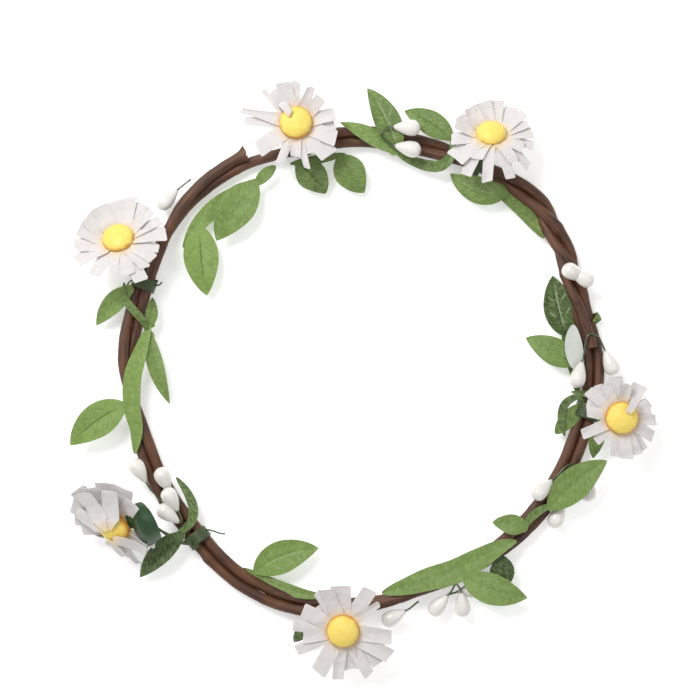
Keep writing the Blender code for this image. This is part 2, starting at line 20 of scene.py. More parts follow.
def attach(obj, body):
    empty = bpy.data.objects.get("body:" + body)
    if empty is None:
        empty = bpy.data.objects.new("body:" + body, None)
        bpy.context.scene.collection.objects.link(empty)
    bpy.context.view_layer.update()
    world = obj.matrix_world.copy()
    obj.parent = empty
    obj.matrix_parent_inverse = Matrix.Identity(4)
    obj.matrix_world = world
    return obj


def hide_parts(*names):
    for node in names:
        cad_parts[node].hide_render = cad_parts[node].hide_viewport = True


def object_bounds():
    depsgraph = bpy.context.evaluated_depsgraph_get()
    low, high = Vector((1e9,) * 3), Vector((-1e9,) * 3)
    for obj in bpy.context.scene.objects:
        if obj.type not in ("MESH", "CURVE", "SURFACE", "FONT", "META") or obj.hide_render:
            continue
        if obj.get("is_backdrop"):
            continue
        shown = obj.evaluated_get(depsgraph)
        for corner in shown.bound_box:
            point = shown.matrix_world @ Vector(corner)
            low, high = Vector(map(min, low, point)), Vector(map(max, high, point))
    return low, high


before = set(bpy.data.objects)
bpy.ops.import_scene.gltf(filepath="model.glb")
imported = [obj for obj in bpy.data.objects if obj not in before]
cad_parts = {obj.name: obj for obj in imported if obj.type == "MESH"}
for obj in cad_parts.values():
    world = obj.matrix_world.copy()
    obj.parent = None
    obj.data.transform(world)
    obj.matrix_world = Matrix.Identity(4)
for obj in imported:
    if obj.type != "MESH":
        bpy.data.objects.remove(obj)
cad_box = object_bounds()
MM = 0.001
UP = Vector((0, 0, 1))
scene = bpy.context.scene

# %% [markdown]
# ## Camera, floor and light
#
# The crown lies flat and is seen from straight above. A long lens from a metre away keeps the daisies
# near the edge from leaning outwards. The floor is a light table: a white board that glows a little,
# so it stays white where things shade it. The lamps are large and high. The Standard view transform
# is chosen so that a white floor stays white.

# %% Camera, floor and light
VIEW_WIDTH = 255.5          # how much of the crown's level the camera takes in
VIEW_MIDDLE = (-3.07, 6.57)
LENS = 150
SENSOR = 36
VIEW_LEVEL = 8              # height at which that width is true
FLOOR_HALF = 2.5            # metres
FLOOR_DROP = 0.3            # the floor lies this far under the table's level, clear of the crown
WORLD_STRENGTH = 0.5
# place in metres, width in metres, watts
LAMPS = (((-0.35, 0.45, 0.75), 0.45, 6.5), ((0.5, -0.1, 0.9), 0.8, 1.6))

camera_data = bpy.data.cameras.new("camera")
camera_data.lens = LENS
camera_data.sensor_width = SENSOR
camera = bpy.data.objects.new("camera", camera_data)
camera_height = VIEW_WIDTH * LENS / SENSOR + VIEW_LEVEL
camera.location = Vector((*VIEW_MIDDLE, camera_height)) * MM
scene.collection.objects.link(camera)
scene.camera = camera

floor_mesh = bpy.data.meshes.new("floor")
ways = ((-1, -1), (1, -1), (1, 1), (-1, 1))
corners = [(x * FLOOR_HALF, y * FLOOR_HALF, -FLOOR_DROP * MM) for x, y in ways]
floor_mesh.from_pydata(corners, [], [(0, 1, 2, 3)])
floor = bpy.data.objects.new("floor", floor_mesh)
scene.collection.objects.link(floor)
floor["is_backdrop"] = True

world = bpy.data.worlds.new("studio")
scene.world = world
world.use_nodes = True
sky = world.node_tree.nodes["Background"].inputs
sky["Color"].default_value = (1, 1, 1, 1)
sky["Strength"].default_value = WORLD_STRENGTH

for number, (place, width, power) in enumerate(LAMPS, 1):
    lamp_data = bpy.data.lights.new(f"softbox_{number}", "AREA")
    lamp_data.shape = "DISK"
    lamp_data.size = width
    lamp_data.energy = power
    lamp = bpy.data.objects.new(f"softbox_{number}", lamp_data)
    lamp.location = place
    lamp.rotation_euler = (-Vector(place)).to_track_quat("-Z", "Y").to_euler()
    scene.collection.objects.link(lamp)
scene.view_settings.view_transform = "Standard"
print("camera height", round(camera_height), "mm;", len(LAMPS), "softboxes")

# %% [markdown]
# ## Helpers for colour and nodes
#
# Colours are written as the hex codes of a paint chart, and one function turns them to the linear
# light that Blender mixes. One other function adds a node to any tree, sets it and links it, so the
# material cells below read as lists of what they mix.

# %% Colour and node helpers
def linear(code):
    """An sRGB hex colour as linear red, green, blue and alpha."""
    parts = [int(code[i:i + 2], 16) / 255 for i in (1, 3, 5)]
    return (*[p / 12.92 if p <= 0.04045 else ((p + 0.055) / 1.055) ** 2.4 for p in parts], 1)


def add(tree, kind, sockets=None, **settings):
    """Adds a node with its settings. A socket gets a value, another socket, or a node's first output."""
    node = tree.nodes.new(kind)
    for name, value in settings.items():
        setattr(node, name, value)
    for socket, value in (sockets or {}).items():
        if isinstance(value, bpy.types.Node):
            value = value.outputs[0]
        if isinstance(value, bpy.types.NodeSocket):
            tree.links.new(value, node.inputs[socket])
        else:
            node.inputs[socket].default_value = value
    return node


def new_material(name, **values):
    """A material with fixed numbers on its shader's own sockets. Returns it, its tree and its shader."""
    made = bpy.data.materials.new(name)
    made.use_nodes = True
    shader = made.node_tree.nodes["Principled BSDF"]
    for label, value in values.items():
        shader.inputs[label.replace("_", " ")].default_value = value
    return made, made.node_tree, shader


MIX_A, MIX_B, MIX_OUT = 6, 7, 2     # the colour sockets of a Mix node

# Matt white board with a lamp behind it: even and almost shadowless, with a faint paper grain.
floor_look, tree, shader = new_material("matt_white_board_lit", Roughness=0.9, Emission_Strength=0.35)
shader.inputs["Emission Color"].default_value = linear("#ffffff")
shader.inputs["Specular IOR Level"].default_value = 0.1
place = add(tree, "ShaderNodeTexCoord")
grain = add(tree, "ShaderNodeTexNoise", {"Vector": place.outputs["Object"], "Scale": 900.0})
tone = add(tree, "ShaderNodeMix", {"Factor": grain, MIX_A: linear("#fbfbfb"), MIX_B: linear("#ffffff")},
           data_type="RGBA")
tree.links.new(tone.outputs[MIX_OUT], shader.inputs["Base Color"])
floor_mesh.materials.append(floor_look)
print("helpers ready")

# %% [markdown]
# ## The hoop's route
#
# Everything on the crown hangs on one line: the middle of the hoop. It is nearly a circle, pushed in
# and out by a few millimetres where hands have bent it. A place is given as an angle, a distance
# outward from that line and a height above the table, as in the CAD model, so the visible pieces lie
# where their solids lie, give or take a few millimetres where a leaf ribbon has a finer shape here.

# %% The hoop's route
HOOP_RADIUS = 85.6
WOBBLE_STEP = 15            # degrees
# how far the line is pushed out at each step
WOBBLE = (0.7, -1.4, 0.9, 3.4, 0.4, -1.1, -0.9, -1.1, 1.2, 1.6, -0.7, -1.5,
          -0.8, -2.5, -1.6, -0.4, 2.9, 4.0, 1.4, -1.0, -1.9, -1.6, -1.2, -0.9)
TWIG_SPACING = 3.85         # between the middles of neighbouring twigs
TIE_RADIUS = 4.525
HOOP_HEIGHT = TIE_RADIUS    # the ties rest on the table


def smooth(knots, x):
    """The value at x of a smooth curve through (place, value) knots."""
    last = len(knots) - 2
    i = max(0, min(last, sum(x >= k[0] for k in knots) - 1))
    x0, y0 = knots[i]
    x1, y1 = knots[i + 1]
    chord = (y1 - y0) / (x1 - x0)
    before = (y0 - knots[i - 1][1]) / (x0 - knots[i - 1][0]) if i > 0 else chord
    after = (knots[i + 2][1] - y1) / (knots[i + 2][0] - x1) if i < last else chord
    t = (x - x0) / (x1 - x0)
    s0 = (chord + before) / 2 * (x1 - x0)
    s1 = (chord + after) / 2 * (x1 - x0)
    return y0 + t * (s0 + t * (3 * (y1 - y0) - 2 * s0 - s1 + t * (s0 + s1 - 2 * (y1 - y0))))


def ease(t):
    """A step from 0 to 1 that starts and ends level."""
    t = max(0.0, min(1.0, t))
    return t * t * (3 - 2 * t)


def hoop_radius(angle):
    """The radius of the hoop's middle line at an angle."""
    place = (angle % 360) / WOBBLE_STEP
    i = int(place)
    knots = [(i + k, WOBBLE[(i + k) % len(WOBBLE)]) for k in (-1, 0, 1, 2)]
    return HOOP_RADIUS + smooth(knots, place)


def spot(angle, out, up):
    """The point at a place on the hoop."""
    reach = hoop_radius(angle) + out
    a = math.radians(angle)
    return Vector((reach * math.cos(a), reach * math.sin(a), up))


def outward(angle):
    """The level direction away from the hoop's middle."""
    return Vector((math.cos(math.radians(angle)), math.sin(math.radians(angle)), 0))


def along(angle):
    """The level direction of the hoop's line."""
    return (spot(angle + 1, 0, 0) - spot(angle - 1, 0, 0)).normalized()


def polar(degrees, reach):
    """An (out, up) pair at a direction and distance."""
    return Vector((reach * math.cos(math.radians(degrees)), reach * math.sin(math.radians(degrees))))


def directions(points):
    """The direction of travel at each point of a line."""
    ends = [points[0], *points, points[-1]]
    return [(ends[i + 2] - ends[i]).normalized() for i in range(len(points))]


def carried(first, travel):
    """A sideways direction that is carried along a line without spinning."""
    side = (first - travel[0] * first.dot(travel[0])).normalized()
    sides = [side]
    for before, after in zip(travel, travel[1:]):
        side = before.rotation_difference(after) @ side
        side = (side - after * side.dot(after)).normalized()
        sides.append(side)
    return sides


def through(points, step):
    """Points about a step apart on a smooth curve through the given ones."""
    places = [0.0]
    for a, b in zip(points, points[1:]):
        places.append(places[-1] + (b - a).length)
    axes = [list(zip(places, [p[k] for p in points])) for k in range(3)]
    count = max(2, round(places[-1] / step))
    return [Vector([smooth(axis, places[-1] * i / count) for axis in axes]) for i in range(count + 1)]


inner_round = sum((spot(a + 1, -TIE_RADIUS, 0) - spot(a, -TIE_RADIUS, 0)).length for a in range(360))
print("inner way round the hoop:", round(inner_round), "mm")

# %% [markdown]
# ## From a line to a mesh
#
# Almost every piece of the crown follows a line: a twig, a stem, a pip on its wire, a petal, a leaf.
# So the script first draws bare lines, one chain of edges each, and stores at each point what is
# known there, such as its thickness. Geometry Nodes then sweeps a cross-section along them. The
# result is copied to a plain mesh, and the node modifier goes.

# %% Lines with facts, and how a tree is run on them
def line_mesh(name, lines):
    """A mesh of edges only, one chain for each line, with its facts as attributes of its points."""
    points, edges, facts = [], [], {}
    for line in lines:
        first, count = len(points), len(line["points"])
        points += [p * MM for p in line["points"]]
        edges += [(first + i, first + i + 1) for i in range(count - 1)]
        for key, values in line.items():
            if key != "points":
                facts.setdefault(key, []).extend(values if isinstance(values, list) else [values] * count)
    mesh = bpy.data.meshes.new(name)
    mesh.from_pydata(points, edges, [])
    for key, values in facts.items():
        vector = isinstance(values[0], Vector)
        attribute = mesh.attributes.new(key, "FLOAT_VECTOR" if vector else "FLOAT", "POINT")
        attribute.data.foreach_set("vector" if vector else "value", np.array(values, np.float32).ravel())
    return mesh


def runs(points):
    """How far along a line each of its points is."""
    found = [0.0]
    for a, b in zip(points, points[1:]):
        found.append(found[-1] + (b - a).length)
    return found


def new_tree(name, inputs):
    """A Geometry Nodes tree with named inputs. Returns it, what it is given and what it gives back."""
    tree = bpy.data.node_groups.new(name, "GeometryNodeTree")
    tree.interface.new_socket("Geometry", in_out="INPUT", socket_type="NodeSocketGeometry")
    for label, kind in inputs.items():
        tree.interface.new_socket(label, in_out="INPUT", socket_type=kind)
    tree.interface.new_socket("Geometry", in_out="OUTPUT", socket_type="NodeSocketGeometry")
    return tree, tree.nodes.new("NodeGroupInput").outputs, tree.nodes.new("NodeGroupOutput").inputs


SHARP = 50      # degrees from which an edge is left sharp


def grow(name, source, tree, settings, wall=0.0, wall_side=0.0):
    """Runs a tree on a mesh and returns the result as a plain object. wall thickens it, in mm."""
    seed = bpy.data.objects.new(f"{name}_line", source)
    scene.collection.objects.link(seed)
    nodes = seed.modifiers.new("nodes", "NODES")
    nodes.node_group = tree
    for item in tree.interface.items_tree:
        if item.in_out == "INPUT" and item.name in settings:
            nodes[item.identifier] = settings[item.name]
    if wall:
        solid = seed.modifiers.new("wall", "SOLIDIFY")
        solid.thickness = wall * MM
        solid.offset = wall_side
        solid.use_even_offset = wall_side != 0
    graph = bpy.context.evaluated_depsgraph_get()
    mesh = bpy.data.meshes.new_from_object(seed.evaluated_get(graph), depsgraph=graph)
    bpy.data.objects.remove(seed)
    return keep(name, mesh)


def keep(name, mesh):
    """A finished mesh as an object at the origin."""
    mesh.name = name
    mesh.shade_smooth()
    mesh.set_sharp_from_angle(angle=math.radians(SHARP))
    made = bpy.data.objects.new(name, mesh)
    scene.collection.objects.link(made)
    return made


def place_piece(obj, body, slot, *nodes):
    """Hands a finished piece to the frame: what it moves with and what it stands for; slot is not used."""
    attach(obj, body)
    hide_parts(*nodes)


print("line tools ready")

# %% [markdown]
# ## The round sweep
#
# One tree makes everything round: it sweeps a circle along each line, as thick as the line says at
# each point. Paper that is rolled round a wire has long creases and a raised edge that winds round
# it. Both are pressed into the surface by moving it along its normal, inwards only, so two twigs that
# touch don't cut into each other. Each point also keeps its place along and round the strand in
# millimetres, which the materials read.

# %% The tree of the round sweep
round_tree, given, back = new_tree("round sweep", {
    "Sides": "NodeSocketInt", "Capped": "NodeSocketBool", "Crease depth": "NodeSocketFloat",
    "Wrap pitch": "NodeSocketFloat", "Wrap step": "NodeSocketFloat", "Seed": "NodeSocketFloat",
    "Material": "NodeSocketMaterial"})
CREASE_STRETCH = 0.07       # creases are this much finer across the strand than along it

rail = add(round_tree, "GeometryNodeMeshToCurve", {"Mesh": given["Geometry"]})
circle = add(round_tree, "GeometryNodeCurvePrimitiveCircle", {"Resolution": given["Sides"], "Radius": 1.0})
around = add(round_tree, "GeometryNodeStoreNamedAttribute",
             {"Geometry": circle, "Name": "around", "Value": add(round_tree, "GeometryNodeInputPosition")},
             data_type="FLOAT_VECTOR", domain="POINT")
thick = add(round_tree, "GeometryNodeInputNamedAttribute", {"Name": "thick"}, data_type="FLOAT")
metres = add(round_tree, "ShaderNodeMath", {0: thick, 1: MM}, operation="MULTIPLY")
swept = add(round_tree, "GeometryNodeCurveToMesh",
            {"Curve": rail, "Profile Curve": around, "Scale": metres, "Fill Caps": given["Capped"]})

run = add(round_tree, "GeometryNodeInputNamedAttribute", {"Name": "along"}, data_type="FLOAT")
turn = add(round_tree, "GeometryNodeInputNamedAttribute", {"Name": "around"}, data_type="FLOAT_VECTOR")
across = add(round_tree, "ShaderNodeVectorMath", {0: turn, "Scale": thick}, operation="SCALE")
along_axis = add(round_tree, "ShaderNodeCombineXYZ", {"Z": run})
strand = add(round_tree, "ShaderNodeVectorMath", {0: across, 1: along_axis}, operation="ADD")
stored = add(round_tree, "GeometryNodeStoreNamedAttribute",
             {"Geometry": swept, "Name": "strand", "Value": strand},
             data_type="FLOAT_VECTOR", domain="POINT")

squeezed = add(round_tree, "ShaderNodeVectorMath", {0: strand, 1: (1, 1, CREASE_STRETCH)},
               operation="MULTIPLY")
crease = add(round_tree, "ShaderNodeTexNoise",
             {"Vector": squeezed, "W": given["Seed"], "Scale": 0.95, "Detail": 2.0, "Roughness": 0.6},
             noise_dimensions="4D")
crease_in = add(round_tree, "ShaderNodeMapRange",
                {"Value": crease, "From Min": 0.32, "From Max": 0.68, "To Min": 0.0, "To Max": 1.0})
crease_size = add(round_tree, "ShaderNodeMath", {0: crease_in, 1: given["Crease depth"]},
                  operation="MULTIPLY")

parts = add(round_tree, "ShaderNodeSeparateXYZ", {"Vector": turn})
angle = add(round_tree, "ShaderNodeMath", {0: parts.outputs["Y"], 1: parts.outputs["X"]},
            operation="ARCTAN2")
lap_turn = add(round_tree, "ShaderNodeMath", {0: angle, 1: 2 * math.pi}, operation="DIVIDE")
lap_run = add(round_tree, "ShaderNodeMath", {0: run, 1: given["Wrap pitch"]}, operation="DIVIDE")
lap = add(round_tree, "ShaderNodeMath", {0: lap_turn, 1: lap_run}, operation="ADD")
lap_share = add(round_tree, "ShaderNodeMath", {0: lap}, operation="FRACT")
lap_size = add(round_tree, "ShaderNodeMath", {0: lap_share, 1: given["Wrap step"]}, operation="MULTIPLY")

inwards = add(round_tree, "ShaderNodeMath", {0: crease_size, 1: lap_size}, operation="ADD")
inwards_metres = add(round_tree, "ShaderNodeMath", {0: inwards, 1: -MM}, operation="MULTIPLY")
normal = add(round_tree, "GeometryNodeInputNormal")
shift = add(round_tree, "ShaderNodeVectorMath", {0: normal, "Scale": inwards_metres}, operation="SCALE")
pressed = add(round_tree, "GeometryNodeSetPosition", {"Geometry": stored, "Offset": shift})
real = add(round_tree, "GeometryNodeRealizeInstances", {"Geometry": pressed})
painted = add(round_tree, "GeometryNodeSetMaterial", {"Geometry": real, "Material": given["Material"]})
round_tree.links.new(painted.outputs[0], back["Geometry"])
print("round sweep:", len(round_tree.nodes), "nodes")

# %% [markdown]
# ## The cloth sweep
#
# The second tree makes everything that is cut from cloth. It sweeps a straight line of points along
# each line, so a petal or a leaf begins as a flat strip with its own width at each point. Each line
# can ask for a fold down its middle, raised edges, a slanted cut, the cross-ribs of a woven tape, or
# the embossed veins of a leaf. All are real relief in the mesh, so they hold from any side.

# %% The tree of the cloth sweep
cloth_tree, given, back = new_tree("cloth sweep", {
    "Points across": "NodeSocketInt", "Rib spacing": "NodeSocketFloat", "Rib height": "NodeSocketFloat",
    "Vein spacing": "NodeSocketFloat", "Vein depth": "NodeSocketFloat", "Crumple": "NodeSocketFloat",
    "Seed": "NodeSocketFloat", "Material": "NodeSocketMaterial"})
VEIN_SLANT = 1.1            # how far a side vein runs along the leaf for each millimetre across

rail = add(cloth_tree, "GeometryNodeMeshToCurve", {"Mesh": given["Geometry"]})
sideways = add(cloth_tree, "GeometryNodeInputNamedAttribute", {"Name": "sideways"},
               data_type="FLOAT_VECTOR")
turned_rail = add(cloth_tree, "GeometryNodeSetCurveNormal", {"Curve": rail, "Normal": sideways},
                  mode="FREE")
weft = add(cloth_tree, "GeometryNodeCurvePrimitiveLine", {"Start": (-1, 0, 0), "End": (1, 0, 0)})
weft_points = add(cloth_tree, "GeometryNodeResampleCurve",
                  {"Curve": weft, "Count": given["Points across"]})
weft_place = add(cloth_tree, "ShaderNodeSeparateXYZ",
                 {"Vector": add(cloth_tree, "GeometryNodeInputPosition")})
weft_named = add(cloth_tree, "GeometryNodeStoreNamedAttribute",
                 {"Geometry": weft_points, "Name": "share", "Value": weft_place.outputs["X"]},
                 data_type="FLOAT", domain="POINT")
half = add(cloth_tree, "GeometryNodeInputNamedAttribute", {"Name": "half"}, data_type="FLOAT")
half_metres = add(cloth_tree, "ShaderNodeMath", {0: half, 1: MM}, operation="MULTIPLY")
swept = add(cloth_tree, "GeometryNodeCurveToMesh",
            {"Curve": turned_rail, "Profile Curve": weft_named, "Scale": half_metres})

share = add(cloth_tree, "GeometryNodeInputNamedAttribute", {"Name": "share"}, data_type="FLOAT")
run = add(cloth_tree, "GeometryNodeInputNamedAttribute", {"Name": "along"}, data_type="FLOAT")
across = add(cloth_tree, "ShaderNodeMath", {0: share, 1: half}, operation="MULTIPLY")
cloth_place = add(cloth_tree, "ShaderNodeCombineXYZ", {"X": run, "Y": across, "Z": half})
stored = add(cloth_tree, "GeometryNodeStoreNamedAttribute",
             {"Geometry": swept, "Name": "cloth", "Value": cloth_place},
             data_type="FLOAT_VECTOR", domain="POINT")

# Veins: a dash down the middle, and short side dashes that leave it on a slant
far = add(cloth_tree, "ShaderNodeMath", {0: across}, operation="ABSOLUTE")
midrib = add(cloth_tree, "ShaderNodeMapRange",
             {"Value": far, "From Min": 0.1, "From Max": 0.38, "To Min": 1.0, "To Max": 0.0})
slanted = add(cloth_tree, "ShaderNodeMath", {0: far, 1: -VEIN_SLANT, 2: run}, operation="MULTIPLY_ADD")
vein_count = add(cloth_tree, "ShaderNodeMath", {0: slanted, 1: given["Vein spacing"]}, operation="DIVIDE")
vein_turn = add(cloth_tree, "ShaderNodeMath", {0: vein_count, 1: 0.5}, operation="PINGPONG")
side_vein = add(cloth_tree, "ShaderNodeMapRange",
                {"Value": vein_turn, "From Min": 0.02, "From Max": 0.06, "To Min": 0.75, "To Max": 0.0})
edge_share = add(cloth_tree, "ShaderNodeMath", {0: share}, operation="ABSOLUTE")
off_edge = add(cloth_tree, "ShaderNodeMapRange",
               {"Value": edge_share, "From Min": 0.6, "From Max": 0.75, "To Min": 1.0, "To Max": 0.0})
off_midrib = add(cloth_tree, "ShaderNodeMapRange", {"Value": edge_share, "From Min": 0.25, "From Max": 0.4})
inside = add(cloth_tree, "ShaderNodeMath", {0: off_edge, 1: off_midrib}, operation="MULTIPLY")
side_kept = add(cloth_tree, "ShaderNodeMath", {0: side_vein, 1: inside}, operation="MULTIPLY")
both_veins = add(cloth_tree, "ShaderNodeMath", {0: midrib, 1: side_kept}, operation="MAXIMUM")
part = add(cloth_tree, "GeometryNodeInputNamedAttribute", {"Name": "part"}, data_type="FLOAT")
from_root = add(cloth_tree, "ShaderNodeMapRange", {"Value": part, "From Min": 0.14, "From Max": 0.24})
from_tip = add(cloth_tree, "ShaderNodeMapRange",
               {"Value": part, "From Min": 0.7, "From Max": 0.82, "To Min": 1.0, "To Max": 0.0})
middle_part = add(cloth_tree, "ShaderNodeMath", {0: from_root, 1: from_tip}, operation="MULTIPLY")
veins = add(cloth_tree, "ShaderNodeMath", {0: both_veins, 1: middle_part}, operation="MULTIPLY")
leafy = add(cloth_tree, "GeometryNodeInputNamedAttribute", {"Name": "veined"}, data_type="FLOAT")
vein = add(cloth_tree, "ShaderNodeMath", {0: veins, 1: leafy}, operation="MULTIPLY")
veined = add(cloth_tree, "GeometryNodeStoreNamedAttribute",
             {"Geometry": stored, "Name": "vein", "Value": vein}, data_type="FLOAT", domain="POINT")
vein_pressed = add(cloth_tree, "ShaderNodeMath", {0: vein}, operation="ABSOLUTE")
vein_lift = add(cloth_tree, "ShaderNodeMath", {0: vein_pressed, 1: given["Vein depth"]},
                operation="MULTIPLY")

# Ribs of the woven tape
rib_count = add(cloth_tree, "ShaderNodeMath", {0: run, 1: given["Rib spacing"]}, operation="DIVIDE")
rib_turn = add(cloth_tree, "ShaderNodeMath", {0: rib_count, 1: 2 * math.pi}, operation="MULTIPLY")
rib_wave = add(cloth_tree, "ShaderNodeMath", {0: rib_turn}, operation="SINE")
ribbed = add(cloth_tree, "GeometryNodeInputNamedAttribute", {"Name": "ribbed"}, data_type="FLOAT")
rib_here = add(cloth_tree, "ShaderNodeMath", {0: rib_wave, 1: ribbed}, operation="MULTIPLY")
rib_lift = add(cloth_tree, "ShaderNodeMath", {0: rib_here, 1: given["Rib height"], 2: vein_lift},
               operation="MULTIPLY_ADD")

# A fold down the middle, raised edges, and the small buckles of handled cloth
fold = add(cloth_tree, "GeometryNodeInputNamedAttribute", {"Name": "fold"}, data_type="FLOAT")
fold_lift = add(cloth_tree, "ShaderNodeMath", {0: edge_share, 1: fold, 2: rib_lift},
                operation="MULTIPLY_ADD")
cup = add(cloth_tree, "GeometryNodeInputNamedAttribute", {"Name": "cup"}, data_type="FLOAT")
squared = add(cloth_tree, "ShaderNodeMath", {0: share, 1: share}, operation="MULTIPLY")
cup_lift = add(cloth_tree, "ShaderNodeMath", {0: squared, 1: cup, 2: fold_lift}, operation="MULTIPLY_ADD")
number = add(cloth_tree, "GeometryNodeInputNamedAttribute", {"Name": "number"}, data_type="FLOAT")
which = add(cloth_tree, "ShaderNodeMath", {0: number, 1: 7.3, 2: given["Seed"]}, operation="MULTIPLY_ADD")
buckle = add(cloth_tree, "ShaderNodeTexNoise",
             {"Vector": cloth_place, "W": which, "Scale": 0.22, "Detail": 1.5}, noise_dimensions="4D")
buckle_middle = add(cloth_tree, "ShaderNodeMath", {0: buckle, 1: 0.5}, operation="SUBTRACT")
loose = add(cloth_tree, "ShaderNodeMapRange",
            {"Value": run, "From Min": 1.0, "From Max": 6.0, "To Min": 0.0, "To Max": 1.0})
buckle_here = add(cloth_tree, "ShaderNodeMath", {0: buckle_middle, 1: loose}, operation="MULTIPLY")
lift = add(cloth_tree, "ShaderNodeMath", {0: buckle_here, 1: given["Crumple"], 2: cup_lift},
           operation="MULTIPLY_ADD")
lift_metres = add(cloth_tree, "ShaderNodeMath", {0: lift, 1: MM}, operation="MULTIPLY")
normal = add(cloth_tree, "GeometryNodeInputNormal")
lifted = add(cloth_tree, "ShaderNodeVectorMath", {0: normal, "Scale": lift_metres}, operation="SCALE")

# A cut that isn't square to the strip
slant = add(cloth_tree, "GeometryNodeInputNamedAttribute", {"Name": "slant"}, data_type="FLOAT_VECTOR")
slant_here = add(cloth_tree, "ShaderNodeVectorMath", {0: slant, "Scale": share}, operation="SCALE")
slant_metres = add(cloth_tree, "ShaderNodeVectorMath", {0: slant_here, "Scale": MM}, operation="SCALE")
offset = add(cloth_tree, "ShaderNodeVectorMath", {0: lifted, 1: slant_metres}, operation="ADD")
shaped = add(cloth_tree, "GeometryNodeSetPosition", {"Geometry": veined, "Offset": offset})
real = add(cloth_tree, "GeometryNodeRealizeInstances", {"Geometry": shaped})
painted = add(cloth_tree, "GeometryNodeSetMaterial", {"Geometry": real, "Material": given["Material"]})
cloth_tree.links.new(painted.outputs[0], back["Geometry"])
print("cloth sweep:", len(cloth_tree.nodes), "nodes")

# %% [markdown]
# ## The twigs: kraft paper on wire
#
# Each twig is a steel wire in a tight roll of brown kraft paper, which florists sell by the reel. The
# two are twisted round each other, and at one place three strands lie together, because the long twig
# goes round once and a bit more. Rolled paper shows creases along the strand, darkened with painted
# shade, ridges between them lightened with painted highlight, and the edge of the paper winding round.

# %% Kraft paper, and the drawn steel wire inside it
# Kraft paper, rolled and waxed: warm brown, with painted shade in its creases and a painted dull
# highlight on its ridges.
paper_look, tree, shader = new_material("kraft_paper_rolled", Roughness=0.55)
strand = add(tree, "ShaderNodeAttribute", attribute_name="strand")
drawn_out = add(tree, "ShaderNodeVectorMath", {0: strand.outputs["Vector"], 1: (1, 1, CREASE_STRETCH)},
                operation="MULTIPLY")
creases = add(tree, "ShaderNodeTexNoise",
              {"Vector": drawn_out, "Scale": 1.9, "Detail": 5.0, "Roughness": 0.62})
patches = add(tree, "ShaderNodeTexNoise",
              {"Vector": strand.outputs["Vector"], "Scale": 0.09, "Detail": 2.0, "Roughness": 0.5})
# Painted shade and highlight: dark where the crease noise is low, which the bump makes a hollow, light on
# the ridges.
crease_shade_mask = add(tree, "ShaderNodeMapRange", {"Value": creases, "From Min": 0.36, "From Max": 0.66})
crease_shade_and_ridge_light = add(tree, "ShaderNodeMix", {"Factor": crease_shade_mask, MIX_A: linear("#25130a"),
                                        MIX_B: linear("#613a22")}, data_type="RGBA")
patch_tone = add(tree, "ShaderNodeMapRange", {"Value": patches, "From Min": 0.4, "From Max": 0.7,
                                              "To Min": 0.0, "To Max": 0.45})
paper_tone = add(tree, "ShaderNodeMix", {"Factor": patch_tone, MIX_A: crease_shade_and_ridge_light.outputs[MIX_OUT],
                                         MIX_B: linear("#774c2e")}, data_type="RGBA")
tree.links.new(paper_tone.outputs[MIX_OUT], shader.inputs["Base Color"])
paper_bump = add(tree, "ShaderNodeBump", {"Strength": 0.85, "Distance": 0.0002, "Height": creases})
tree.links.new(paper_bump.outputs[0], shader.inputs["Normal"])

# Drawn steel wire: grey metal with fine lines along it, seen only at the cut ends.
steel_look, tree, shader = new_material("steel_wire_drawn", Metallic=1.0, Roughness=0.38)
place = add(tree, "ShaderNodeTexCoord")
die_lines = add(tree, "ShaderNodeTexNoise", {"Vector": place.outputs["Object"], "Scale": 2500.0})
steel_tone = add(tree, "ShaderNodeMix", {"Factor": die_lines, MIX_A: linear("#77767a"),
                                         MIX_B: linear("#a9a8a6")}, data_type="RGBA")
tree.links.new(steel_tone.outputs[MIX_OUT], shader.inputs["Base Color"])
for wire in ("wire_core_long", "wire_core_short"):
    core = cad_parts[wire]
    core.data.materials.clear()
    core.data.materials.append(steel_look)
print("made", paper_look.name, "and", steel_look.name)

# %% [markdown]
# The strands keep their places round the hoop's middle line as three strands in a triangle, or as two
# side by side that turn about each other. The paper is a pipe with the wire in its bore. It is a
# little thicker than its solid, so that neighbours touch, as twisted strands do.

# %% Twigs
LONG_TWIG = (5, 405)
SHORT_TWIG = (118, 464)
EASE = 12                   # degrees in which two strands make room for the third
# a place on the hoop and how far the strands have turned there, all in degrees
TWIST = ((45, 180), (70, 330), (100, 385), (130, 410), (172, 560), (200, 700),
         (243, 722), (282, 810), (335, 900), (365, 900))
ROPE = ((5, -150), (15, -140), (30, 0), (45, 150))
STRAND_STEP = 0.4           # degrees between two rings
STRAND_RADIUS = 2.12
STRAND_WALL = 1.1
KNUCKLES = {"long": (381.5, 24.3, 300.0), "short": (232.0, 395.0)}   # angles where paper bunches up
KNUCKLE_WIDTH = 1.1         # degrees
KNUCKLE_SWELL = 0.14        # share of the strand's radius
LUMP_SWELL = 0.025
LUMPS_PER_DEGREE = 0.35


def twig_offsets(angle):
    """The (out, up) offsets of the short twig, the long one and the long one's doubled start, or None."""
    turn = (angle - ROPE[0][0]) % 360 + ROPE[0][0]
    reach = TWIG_SPACING / math.sqrt(3)
    if turn <= ROPE[-1][0]:
        a = smooth(ROPE, turn)
        return polar(a, reach), polar(a + 120, reach), polar(a + 240, reach)
    a = smooth(TWIST, turn)
    pair = polar(a, TWIG_SPACING / 2)
    settle = reach / 2 * (1 - ease((turn - ROPE[-1][0]) / EASE))
    rise = reach / 2 * ease((turn - ROPE[0][0] - 360 + EASE) / EASE)
    shift = polar(a - 90, settle) + polar(a + 90, rise)
    return pair + shift, -pair + shift, None


